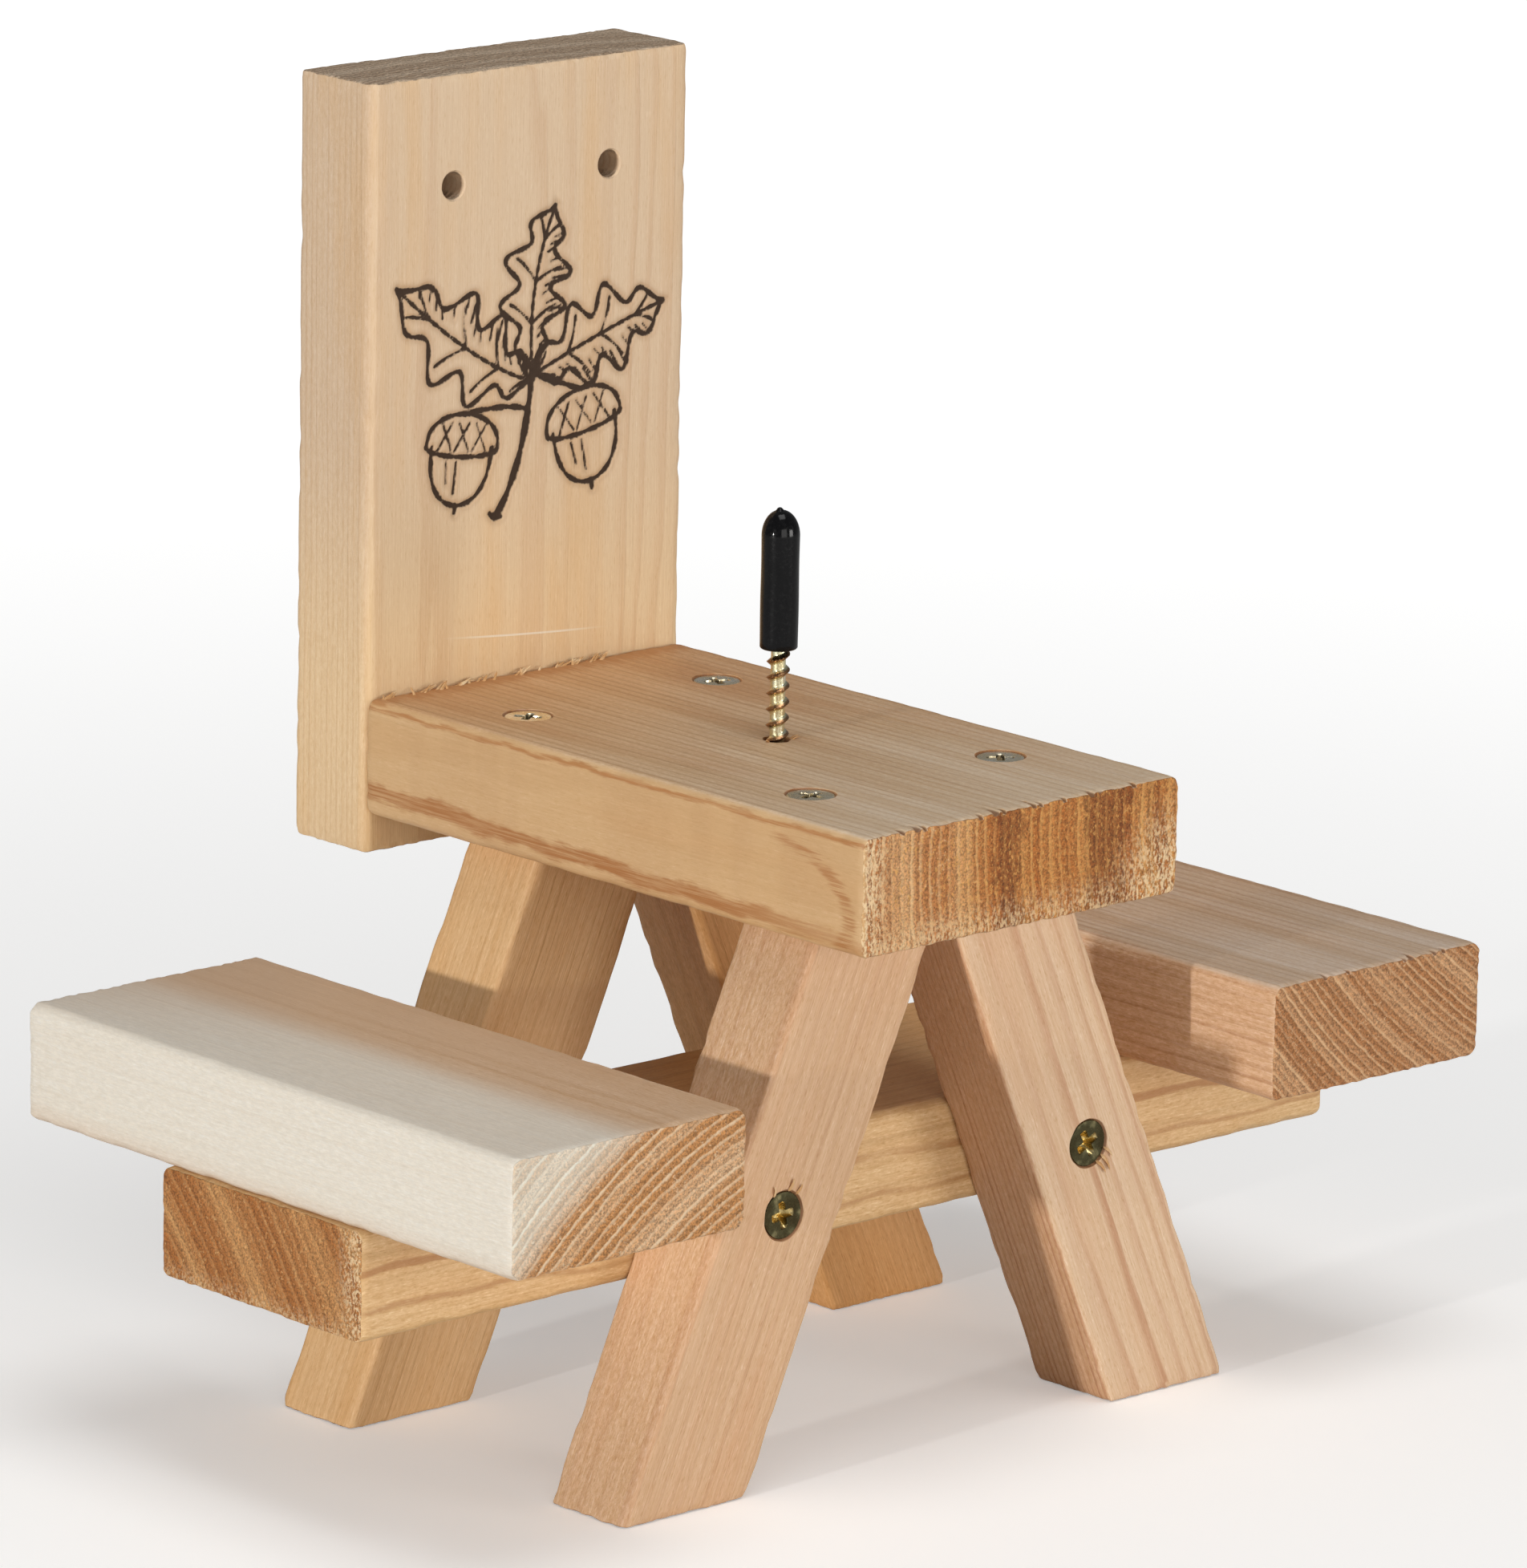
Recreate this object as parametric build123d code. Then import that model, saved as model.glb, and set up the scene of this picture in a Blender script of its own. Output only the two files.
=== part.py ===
"""Squirrel picnic table: a small cedar table on splayed legs with bench seats,
a tall back board that hangs it on a tree or post, and an upright screw with a
soft cap that a cob of corn is driven onto.

Sizes are in millimetres.  +Z is up, the free end of the table faces -Y, the
back board is at +Y, left and right mirror across X = 0, and the feet stand
on Z = 0.
"""
import os
from math import cos, radians, sin, tan

from build123d import *

# Table top and back board
PLANK_WIDTH = 88.9
TABLE_THICKNESS = 25.0
TABLE_LENGTH = 154.0
BACK_THICKNESS = 24.0
BACK_HEIGHT = 165.0
BACK_DROP = 8.7                 # the back board hangs this far below the table

# Seats and the beam that carries them
SEAT_WIDTH = 62.0
SEAT_THICKNESS = 25.0
SEAT_LENGTH = 152.0
SEAT_LEG_GAP = 17.92            # clear space between a leg and the seat's inner edge
BEAM_DEPTH = 63.0
BEAM_THICKNESS = 23.4
BEAM_UNDERSIDE = 43.3           # above the floor

# Legs
LEG_HEIGHT = 117.0              # floor to the underside of the table
LEG_SPLAY = 23.65               # degrees out from upright
LEG_WIDTH = 31.1                # square to the length of the leg
LEG_THICKNESS = 22.8
LEG_TOP_GAP = 1.2               # between the tops of a left and a right leg

# Eased edges, along the grain only: the sawn ends are left sharp
LONG_EDGE_BREAK = 1.2

# Holes in the back board for hanging
HANGER_HOLE_RADIUS = 3.0
HANGER_HOLE_SPACING = 43.6
HANGER_HOLE_FROM_TOP = 23.9

# Countersunk wood screws, threads drawn as a plain cylinder over the crests
HEAD_RADIUS = 5.0
HEAD_ANGLE = 82.0
THREAD_RADIUS = 2.5
LONG_SCREW_LENGTH = 50.8        # through the table into the legs, and into its rear end
SHORT_SCREW_LENGTH = 41.3       # through the legs into the beam, and up into the seats
HEAD_SINK = 0.3                 # head below the face of the wood
SCREW_CLEARANCE = 0.1           # round every screw in its hole

# Where the screws go
TABLE_SCREW_EDGE = 7.85         # in from the outer edge of the leg's top
FRONT_ROW_OFFSET = 0.9          # behind the middle of the front legs
REAR_ROW_OFFSET = 2.6           # behind the middle of the rear legs
LEG_SCREW_OFFSET = 3.5          # above the middle of the beam
SEAT_SCREW_SPACING = 36.0
BACK_SCREW_SPACING = 32.0

# Corn spike and its cap
SPIKE_OFFSET = 2.6              # ahead of the middle of the table
SPIKE_RISE = 47.0               # tip above the table
SPIKE_POINT_LENGTH = 5.0
CAP_LENGTH = 30.0
CAP_WALL = 1.3
CAP_DOME_HEIGHT = 5.9
CAP_END_WALL = 2.2
CAP_CLEARANCE = 0.2             # round the spike inside the cap

# Levels and lines that follow from the sizes above
depth = TABLE_LENGTH + BACK_THICKNESS
front_y = -depth / 2
table_rear_y = front_y + TABLE_LENGTH
back_y = depth / 2
table_under_z = LEG_HEIGHT
table_top_z = LEG_HEIGHT + TABLE_THICKNESS
back_bottom_z = table_under_z - BACK_DROP
back_top_z = back_bottom_z + BACK_HEIGHT
beam_top_z = BEAM_UNDERSIDE + BEAM_THICKNESS
seat_top_z = beam_top_z + SEAT_THICKNESS
beam_mid_y = front_y + TABLE_LENGTH / 2
beam_front_y = beam_mid_y - BEAM_DEPTH / 2
beam_rear_y = beam_mid_y + BEAM_DEPTH / 2
front_leg_y = beam_front_y - LEG_THICKNESS
rear_leg_y = beam_rear_y + LEG_THICKNESS
leg_level_width = LEG_WIDTH / cos(radians(LEG_SPLAY))
spike_y = beam_mid_y - SPIKE_OFFSET
tip_z = table_top_z + SPIKE_RISE


def leg_inner_x(z):
    """Inner edge of a leg at height z, for the right-hand side."""
    return LEG_TOP_GAP / 2 + (LEG_HEIGHT - z) * tan(radians(LEG_SPLAY))


# The seats stand clear of the legs, and the beam ends flush with their outer edges
seat_in_x = leg_inner_x(beam_top_z) + leg_level_width + SEAT_LEG_GAP
seat_mid_x = seat_in_x + SEAT_WIDTH / 2
seat_out_x = seat_in_x + SEAT_WIDTH


def plank(x_span, y_span, z_span, grain):
    """A board between three pairs of planes, with its grain along an axis."""
    spans = (x_span, y_span, z_span)
    size = [high - low for low, high in spans]
    middle = [(high + low) / 2 for low, high in spans]
    solid = Pos(*middle) * Box(*size)
    return chamfer(solid.edges().filter_by(grain), LONG_EDGE_BREAK)


def leg(side, y_low):
    """A splayed leg cut level at both ends, on side -1 (left) or +1 (right)."""
    top = leg_inner_x(LEG_HEIGHT)
    foot = leg_inner_x(0)
    outline = [
        (side * top, LEG_HEIGHT),
        (side * (top + leg_level_width), LEG_HEIGHT),
        (side * (foot + leg_level_width), 0),
        (side * foot, 0),
    ]
    face = make_face(Polyline(*outline, close=True))
    solid = extrude(Plane.XZ.offset(-y_low) * face, amount=-LEG_THICKNESS)
    sloping = [e for e in solid.edges() if abs((e @ 0).Z - (e @ 1).Z) > 1]
    return chamfer(sloping, LONG_EDGE_BREAK)


def turned(points):
    """Turn a closed outline of (radius, height) points about the Z axis."""
    face = make_face(Polyline(*points, close=True))
    return revolve(Plane.XZ * face, Axis.Z)


def head_depth(rim_radius, neck_radius):
    """Height of the cone from a head's rim down to its neck."""
    return (rim_radius - neck_radius) / tan(radians(HEAD_ANGLE / 2))


def screw(length, point=0):
    """A screw along -Z with its head's top at Z = 0, and a point of a given
    height, or a blunt end where the wood hides it."""
    return turned([
        (0, 0),
        (HEAD_RADIUS, 0),
        (THREAD_RADIUS, -head_depth(HEAD_RADIUS, THREAD_RADIUS)),
        (THREAD_RADIUS, point - length),
        (0, -length),
    ])


def screw_hole(length):
    """The room a screw needs: a countersink open to the face of the wood and
    a straight drilled hole with a flat bottom."""
    gap = SCREW_CLEARANCE
    rim = HEAD_RADIUS + gap
    hole = THREAD_RADIUS + gap
    above = 2 * HEAD_SINK
    return turned([
        (0, above),
        (rim + above * tan(radians(HEAD_ANGLE / 2)), above),
        (hole, -head_depth(rim, hole)),
        (hole, -length - gap),
        (0, -length - gap),
    ])


def placed(spots, direction, solid):
    """Copies of a screw or hole at head centres, pointing along a direction."""
    turns = {
        "down": Rot(0, 0, 0),
        "up": Rot(180, 0, 0),
        "to_rear": Rot(90, 0, 0),
        "to_front": Rot(-90, 0, 0),
    }
    return [Pos(*spot) * turns[direction] * solid for spot in spots]


# Head centres of each row of screws, which way they point and their length
table_head_z = table_top_z - HEAD_SINK
table_screw_x = leg_inner_x(LEG_HEIGHT) + leg_level_width - TABLE_SCREW_EDGE
front_row_y = beam_front_y - LEG_THICKNESS / 2 + FRONT_ROW_OFFSET
rear_row_y = beam_rear_y + LEG_THICKNESS / 2 + REAR_ROW_OFFSET
leg_screw_z = BEAM_UNDERSIDE + BEAM_THICKNESS / 2 + LEG_SCREW_OFFSET
leg_screw_x = leg_inner_x(leg_screw_z) + leg_level_width / 2
seat_head_z = BEAM_UNDERSIDE + HEAD_SINK
seat_rows_y = [beam_mid_y + s * SEAT_SCREW_SPACING / 2 for s in (-1, 1)]
back_screw_x = BACK_SCREW_SPACING / 2
back_screw_z = table_under_z + TABLE_THICKNESS / 2
rows = {
    "table": (
        [(s * table_screw_x, y, table_head_z) for y in (front_row_y, rear_row_y) for s in (-1, 1)],
        "down", LONG_SCREW_LENGTH,
    ),
    "back": (
        [(s * back_screw_x, back_y - HEAD_SINK, back_screw_z) for s in (-1, 1)],
        "to_front", LONG_SCREW_LENGTH,
    ),
    "front_leg": (
        [(s * leg_screw_x, front_leg_y + HEAD_SINK, leg_screw_z) for s in (-1, 1)],
        "to_rear", SHORT_SCREW_LENGTH,
    ),
    "rear_leg": (
        [(s * leg_screw_x, rear_leg_y - HEAD_SINK, leg_screw_z) for s in (-1, 1)],
        "to_front", SHORT_SCREW_LENGTH,
    ),
    "seat": (
        [(s * seat_mid_x, y, seat_head_z) for s in (-1, 1) for y in seat_rows_y],
        "up", SHORT_SCREW_LENGTH,
    ),
}

# Screws of one length share a node, and each row leaves its holes in the wood
nodes = {}
holes = {}
screws = {"long_screws": [], "short_screws": []}
for row, (spots, direction, length) in rows.items():
    group = "long_screws" if length == LONG_SCREW_LENGTH else "short_screws"
    screws[group] += placed(spots, direction, screw(length))
    holes[row] = placed(spots, direction, screw_hole(length))
for group, solids in screws.items():
    nodes[group] = Compound(children=solids)

# Corn spike: a long screw driven up through the table, with its tip free
spike_length = TABLE_THICKNESS - HEAD_SINK + SPIKE_RISE
spike_foot = [(0, spike_y, table_under_z + HEAD_SINK)]
nodes["corn_spike"] = placed(spike_foot, "up", screw(spike_length, SPIKE_POINT_LENGTH))[0]
holes["spike"] = placed(spike_foot, "up", screw_hole(spike_length))

# Cap: a soft dipped sleeve with a domed end, which is turned as three straight
# slopes between points on an ellipse
inside_end_z = tip_z + CAP_CLEARANCE
cap_top_z = inside_end_z + CAP_END_WALL
dome_low_z = cap_top_z - CAP_DOME_HEIGHT
mouth_z = cap_top_z - CAP_LENGTH
bore = THREAD_RADIUS + CAP_CLEARANCE
cap_radius = bore + CAP_WALL
dome = [
    (cap_radius * cos(radians(a)), dome_low_z + CAP_DOME_HEIGHT * sin(radians(a)))
    for a in (0, 30, 60)
]
nodes["spike_cap"] = Pos(0, spike_y, 0) * turned([
    (bore, mouth_z),
    (cap_radius, mouth_z),
    *dome,
    (0, cap_top_z),
    (0, inside_end_z),
    (bore, inside_end_z - SPIKE_POINT_LENGTH),
])


def bored(solid, *row_names):
    """A wooden piece with the holes of the named rows of screws cut in it."""
    for row in row_names:
        for hole in holes[row]:
            solid = solid - hole
    return solid


half = PLANK_WIDTH / 2
nodes["table_top"] = bored(
    plank((-half, half), (front_y, table_rear_y), (table_under_z, table_top_z), Axis.Y),
    "table", "back", "spike",
)

back = plank((-half, half), (table_rear_y, back_y), (back_bottom_z, back_top_z), Axis.Z)
hanger_z = back_top_z - HANGER_HOLE_FROM_TOP
for s in (-1, 1):
    hanger = Rot(90, 0, 0) * Cylinder(HANGER_HOLE_RADIUS, 3 * BACK_THICKNESS)
    back = back - Pos(s * HANGER_HOLE_SPACING / 2, back_y, hanger_z) * hanger
nodes["back_board"] = bored(back, "back")

nodes["seat_beam"] = bored(
    plank((-seat_out_x, seat_out_x), (beam_front_y, beam_rear_y), (BEAM_UNDERSIDE, beam_top_z), Axis.X),
    "front_leg", "rear_leg", "seat",
)

seat_y = (front_y, front_y + SEAT_LENGTH)
seat_z = (beam_top_z, seat_top_z)
nodes["left_seat"] = bored(plank((-seat_out_x, -seat_in_x), seat_y, seat_z, Axis.Y), "seat")
nodes["right_seat"] = bored(plank((seat_in_x, seat_out_x), seat_y, seat_z, Axis.Y), "seat")

for side_name, s in (("left", -1), ("right", 1)):
    front = leg(s, front_leg_y)
    rear = leg(s, beam_rear_y)
    nodes[f"front_{side_name}_leg"] = bored(front, "table", "front_leg")
    nodes[f"rear_{side_name}_leg"] = bored(rear, "table", "rear_leg")

os.makedirs("parts", exist_ok=True)
for name, shape in nodes.items():
    export_step(shape, f"parts/{name}.step")
    box = shape.bounding_box()
    print(name, len(shape.solids()), "solids", [round(v, 2) for v in (*box.min, *box.max)])
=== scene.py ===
# %% [markdown]
# # A cedar picnic table for squirrels
#
# The object is a small table with two bench seats on splayed legs, a tall back
# board that hangs it on a tree, and an upright screw that holds a corn cob.
# The CAD frame says where every piece is. This script dresses that frame: it
# remakes the boards with eased edges, the screws with cross recesses and the
# spike with its thread, and paints them as bare cedar, plated steel and vinyl.

# %% Load the frame and keep the CAD box
from collections import namedtuple
from math import atan, cos, pi, radians, sin

import bpy
import numpy as np
from mathutils import Euler, Matrix, Vector


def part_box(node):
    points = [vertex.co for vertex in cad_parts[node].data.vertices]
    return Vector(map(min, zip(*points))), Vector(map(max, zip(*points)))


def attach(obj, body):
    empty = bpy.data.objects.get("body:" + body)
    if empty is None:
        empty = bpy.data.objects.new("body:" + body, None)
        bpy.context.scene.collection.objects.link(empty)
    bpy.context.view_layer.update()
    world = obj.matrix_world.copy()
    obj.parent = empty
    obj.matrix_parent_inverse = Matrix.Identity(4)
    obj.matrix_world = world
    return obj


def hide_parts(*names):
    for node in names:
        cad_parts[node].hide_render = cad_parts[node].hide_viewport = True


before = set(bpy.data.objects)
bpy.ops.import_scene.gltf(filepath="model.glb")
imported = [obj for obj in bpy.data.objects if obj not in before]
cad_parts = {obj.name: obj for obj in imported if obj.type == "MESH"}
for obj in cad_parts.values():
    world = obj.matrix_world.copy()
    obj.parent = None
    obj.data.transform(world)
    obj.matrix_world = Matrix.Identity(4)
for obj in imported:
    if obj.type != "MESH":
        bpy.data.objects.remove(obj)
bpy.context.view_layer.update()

MM = 0.001
scene = bpy.context.scene


def node_box(name):
    """Lowest and highest corner of a CAD node, in millimetres."""
    low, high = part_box(name)
    return np.array(low) / MM, np.array(high) / MM


print("CAD nodes:", ", ".join(sorted(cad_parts)))

# %% [markdown]
# ## From numbers to a mesh
#
# Every new piece below is a set of patches: grids of points worked out by a
# formula. Two small helpers turn them into one closed mesh. `grid` joins the
# neighbours in a grid by four-sided faces, and `weld` makes one point of those
# that fall on the same spot, so seams close and a ring of radius nothing
# becomes a pole. Sizes are in millimetres until the mesh is made.

# %% Patches, welding and pieces
WELD = 1e-4
SHARP_DEGREES = 38


def grid(points):
    """Faces of a grid of points (rows, columns, 3).  A face looks along the
    column direction crossed with the row direction."""
    rows, columns = points.shape[:2]
    corner = (np.arange(rows - 1)[:, None] * columns + np.arange(columns - 1)).reshape(-1)
    faces = np.stack([corner, corner + 1, corner + columns + 1, corner + columns], axis=1)
    return points.reshape(-1, 3), faces


def flipped(patch):
    """The same patch facing the other way."""
    return patch[0], patch[1][:, ::-1]


def weld(patches):
    """Join patches into one list of points and one of faces, with points that
    agree to a ten-thousandth of a millimetre made one and those that no face
    uses left out."""
    starts = np.cumsum([0] + [len(points) for points, faces in patches[:-1]])
    points = np.concatenate([points for points, faces in patches])
    faces = np.concatenate([faces + start for (_, faces), start in zip(patches, starts)])
    keys = np.round(points / WELD).astype(np.int64)
    first, inverse = np.unique(keys, axis=0, return_index=True, return_inverse=True)[1:]
    used, corners = np.unique(inverse.reshape(-1)[faces], return_inverse=True)
    return points[first][used], corners.reshape(faces.shape)


def make_piece(name, points, faces, body="table"):
    """A mesh object from welded points and faces.  A face with two corners on
    one point becomes a triangle, and one with fewer than three is left out."""
    keep = faces != np.roll(faces, -1, axis=1)
    whole = keep.sum(axis=1) >= 3
    faces, keep = faces[whole], keep[whole]
    corners = faces[keep]
    starts = np.concatenate([[0], np.cumsum(keep.sum(axis=1))[:-1]])
    mesh = bpy.data.meshes.new(name)
    mesh.vertices.add(len(points))
    mesh.vertices.foreach_set("co", (points * MM).ravel())
    mesh.loops.add(len(corners))
    mesh.loops.foreach_set("vertex_index", corners)
    mesh.polygons.add(len(faces))
    mesh.polygons.foreach_set("loop_start", starts)
    mesh.update(calc_edges=True)
    mesh.shade_smooth()
    mesh.set_sharp_from_angle(angle=radians(SHARP_DEGREES))
    made = bpy.data.objects.new(name, mesh)
    scene.collection.objects.link(made)
    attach(made, body)
    print(f"{name}: {len(points)} points, {len(faces)} faces")
    return made


def mark(piece, name, values):
    """Keep a value at each point of a piece for its material to read."""
    attribute = piece.data.attributes.new(name, "FLOAT", "POINT")
    attribute.data.foreach_set("value", values.astype(np.float32))


print("faces meet sharply past", SHARP_DEGREES, "degrees")

# %% [markdown]
# ## A sawn board
#
# A board of planed cedar has eased edges along the grain and crisp sawn ends.
# A bevel modifier could ease a box, but it would treat all edges alike and give
# no say over where the grid lines fall. Here the six faces of a box are gridded
# and every point is moved by one rule: near a long edge the square corner is
# pulled onto an arc, and near a sawn end the rim is pulled in a little.

# %% The easing rule
LONG_RADIUS = 2.1
LEG_RADIUS = 1.1
END_RADIUS = 0.55


def eased(points, low, high, grain, radius):
    """Points of a box moved onto a board.  Across the grain, the offset from
    an inner core keeps its larger side as its length, so squares become
    circles.  At the ends, the distances in from the end and from the long
    faces are put on an arc in the same way."""
    across = [axis for axis in range(3) if axis != grain]
    moved = points.copy()
    core = np.clip(points[..., across], low[across] + radius, high[across] - radius)
    offset = points[..., across] - core
    reach = np.abs(offset).max(axis=-1)
    from_low = points[..., grain] - low[grain]
    from_high = high[grain] - points[..., grain]
    rim = np.clip(END_RADIUS - (radius - reach), 0, None)
    end = np.clip(END_RADIUS - np.minimum(from_low, from_high), 0, None)
    length = np.hypot(rim, end)
    pull = 1 - np.divide(np.maximum(rim, end), length, out=np.ones_like(length), where=length > 0)
    norm = np.hypot(offset[..., 0], offset[..., 1])[..., None]
    unit = np.divide(offset, norm, out=np.zeros_like(offset), where=norm > 0)
    moved[..., across] = core + unit * (reach - rim * pull)[..., None]
    moved[..., grain] += np.where(from_low < from_high, 1, -1) * end * pull
    return moved


print("long edges eased by", LONG_RADIUS, "mm, legs by", LEG_RADIUS, "mm, ends by", END_RADIUS, "mm")

# %% [markdown]
# ## Pits for screws
#
# A countersunk screw sits in a conical pit. Cutting it with a boolean would
# leave long thin faces, so the grid makes room instead: the square block of
# cells round a pit is left out, and rings of points lead from the edge of that
# block to a circle and then down the pit's profile.

# %% Grid lines and rings
Pit = namedtuple("Pit", "axis side centre half profile rough")
PIT_LINES = 12
LINE_DIGITS = 4
LINE_GAP = 0.45
X, Y, Z = np.eye(3)


def stations(low, high, rim, rim_lines, step, blocks, fine):
    """Grid lines between two faces: lines in the rims at the tangents of even
    angles, so that arcs come out even, even lines across each pit's block, then
    those of the finely gridded stretches and lines about a step apart, less any
    that fall too near to one already there."""
    arc = rim * (1 - np.tan(np.linspace(pi / 4, 0, rim_lines + 1)))
    lines = [low + arc, high - arc]
    lines += [np.linspace(centre - half, centre + half, PIT_LINES + 1) for centre, half in blocks]
    lines = np.concatenate(lines)
    middle = (low + rim, high - rim, int(np.ceil((high - low - 2 * rim) / step)))
    for start, end, count in (*fine, middle):
        extra = np.linspace(start, end, count + 1)
        apart = np.abs(extra[:, None] - lines[None]).min(axis=1)
        lines = np.concatenate([lines, extra[apart > LINE_GAP * (end - start) / count]])
    return np.unique(np.round(lines, LINE_DIGITS))


def wobble(angle, seed):
    """A slow uneven wave round a circle, between about -1 and 1."""
    return (np.sin(2 * angle + seed) + np.sin(5 * angle + 2.3 * seed) + np.sin(9 * angle + 4.1 * seed)) / 3


def rings(loop, centre, normal, profile, rough=0.0):
    """Layers from a closed loop of points towards an axis: each layer keeps
    the loop's directions from the centre, at a profile's radius and depth
    against the normal.  Roughness makes the first circle uneven."""
    spokes = loop - centre
    spokes = spokes - (spokes @ normal)[:, None] * normal
    unit = spokes / np.linalg.norm(spokes, axis=1)[:, None]
    side = np.cross(normal, unit[0])
    angle = np.arctan2(unit @ side, unit @ unit[0])
    layers = [loop]
    for place, (radius, depth) in enumerate(profile):
        uneven = 1 + rough * wobble(angle, centre.sum()) * (place == 0)
        layers.append(centre + unit * (radius * uneven)[:, None] - normal * depth)
    return np.stack(layers)


print("a pit takes", PIT_LINES, "cells of the grid each way")

# %% Boards with pits
GRID_STEP = 2.4
RIM_LINES = 4
END_LINES = 2
PIT_START = 0.05


def unmoved(points, sign=1):
    """Points left where they are."""
    return points


def border(points):
    """The closed loop round the edge of a grid of points."""
    sides = points[0, :-1], points[:-1, -1], points[-1, :0:-1], points[:0:-1, 0], points[:1, 0]
    return np.concatenate(sides)


def face_patches(points, lines, pits, place, normal):
    """A board's face as a grid with a block left out for each pit, and each
    pit's rings from the edge of its block."""
    base, faces = grid(points)
    row, column = np.divmod(faces[:, 0], points.shape[1])
    patches = []
    for pit in pits:
        spans = []
        for axis_lines, middle in zip(lines, np.delete(np.roll(pit.centre, -pit.axis), 0)):
            edges = np.round([middle - pit.half, middle + pit.half], LINE_DIGITS)
            spans.append(np.searchsorted(axis_lines, edges))
        (r0, r1), (c0, c1) = spans
        inside = (row >= r0) & (row < r1) & (column >= c0) & (column < c1)
        faces, row, column = faces[~inside], row[~inside], column[~inside]
        loop = border(points[r0:r1 + 1, c0:c1 + 1])
        patches.append(grid(rings(loop, place(np.array(pit.centre)), normal, pit.profile, pit.rough)))
    return [(base, faces)] + patches


def board(low, high, grain, pits=(), place=unmoved, fine=((), (), ()), radius=LONG_RADIUS):
    """A closed board between two corners, with its grain along one axis."""
    lines = []
    for axis in range(3):
        rim, rim_lines = (END_RADIUS, END_LINES) if axis == grain else (radius, RIM_LINES)
        blocks = [(pit.centre[axis], pit.half) for pit in pits if pit.axis != axis]
        lines.append(stations(low[axis], high[axis], rim, rim_lines, GRID_STEP, blocks, fine[axis]))
    patches = []
    for axis in range(3):
        u, v = (axis + 1) % 3, (axis + 2) % 3
        for side, level in ((-1, low[axis]), (1, high[axis])):
            points = np.empty((len(lines[u]), len(lines[v]), 3))
            points[..., axis] = level
            points[..., u] = lines[u][:, None]
            points[..., v] = lines[v][None, :]
            shaped = place(eased(points, low, high, grain, radius))
            here = [pit for pit in pits if pit.axis == axis and pit.side == side]
            normal = side * np.eye(3)[axis]
            made = face_patches(shaped, (lines[u], lines[v]), here, place, normal)
            patches += made if side < 0 else [flipped(patch) for patch in made]
    return weld(patches)


def under(points, centre, normal):
    """How far points lie below a spot on a face, and how far beside its axis."""
    below = (centre - points) @ normal
    return below, np.linalg.norm(points - centre + below[:, None] * normal, axis=1)


def in_pits(points, pits, place=unmoved):
    """1 for points below the rim of a pit, 0 for the rest."""
    inside = np.zeros(len(points))
    for pit in pits:
        below, aside = under(points, place(np.array(pit.centre)), pit.side * np.eye(3)[pit.axis])
        inside[(below > PIT_START) & (below < 2 * pit.half) & (aside < pit.half)] = 1
    return inside


print("boards have a grid line each", GRID_STEP, "mm")

# %% [markdown]
# ## Rough sawn ends and chipped edges
#
# A saw tears the ends of soft cedar: they are uneven by some tenths of a
# millimetre, their edges fray, and the long edges lose small chips. A
# displacement modifier would move one face away from the next, so the finely
# gridded points are moved by a formula in space: points shared by two faces
# move together and the board stays closed.

# %% Uneven ends and torn edges
END_RELIEF = 0.36
# Share and cell of each layer of unevenness on an end
END_NOISE = ((0.65, 1.2), (0.35, 3.3))
FRAY_DEPTH = 0.45
FRAY_REACH = 1.8
FRAY_CELL = 1.3
LATTICE = 64
CHIP_DEPTH = 0.6
CHIP_LENGTH = 3.6
TEAR_DEPTH = 0.8
TEAR_SLANT = 0.5
TEAR_SKIN = 0.2


def lattice_noise(u, v, cell, seed):
    """Random heights from 0 to 1 on a square lattice, joined smoothly."""
    heights = np.random.default_rng(seed).random((LATTICE, LATTICE))
    column, row = np.floor(u / cell).astype(int), np.floor(v / cell).astype(int)
    s, t = u / cell - column, v / cell - row
    s, t = s * s * (3 - 2 * s), t * t * (3 - 2 * t)
    a, b = column % LATTICE, row % LATTICE
    a_next, b_next = (column + 1) % LATTICE, (row + 1) % LATTICE
    near = heights[a, b] * (1 - s) + heights[a_next, b] * s
    far = heights[a, b_next] * (1 - s) + heights[a_next, b_next] * s
    return near * (1 - t) + far * t


def rough_ends(points, low, high, grain, seed):
    """Points near a sawn end moved in along the grain by uneven heights, and
    those on the long faces moved in towards the core, both fading to nothing
    with the distance from the end."""
    u, v = (axis for axis in range(3) if axis != grain)
    moved = points.copy()
    from_low, from_high = points[:, grain] - low[grain], high[grain] - points[:, grain]
    near = np.clip(1 - np.minimum(from_low, from_high) / FRAY_REACH, 0, 1)
    heights = sum(
        share * lattice_noise(points[:, u], points[:, v], cell, seed + layer)
        for layer, (share, cell) in enumerate(END_NOISE)
    )
    moved[:, grain] += np.where(from_low < from_high, 1, -1) * END_RELIEF * near * heights
    for axis, other in ((u, v), (v, u)):
        inside = np.minimum(points[:, axis] - low[axis], high[axis] - points[:, axis])
        rim = np.clip(1 - inside / LONG_RADIUS, 0, 1)
        fray = lattice_noise(points[:, other], points[:, grain], FRAY_CELL, seed + 2 + axis)
        inward = np.sign((low[axis] + high[axis]) / 2 - points[:, axis])
        moved[:, axis] += inward * FRAY_DEPTH * near * rim * fray
    return moved


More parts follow.
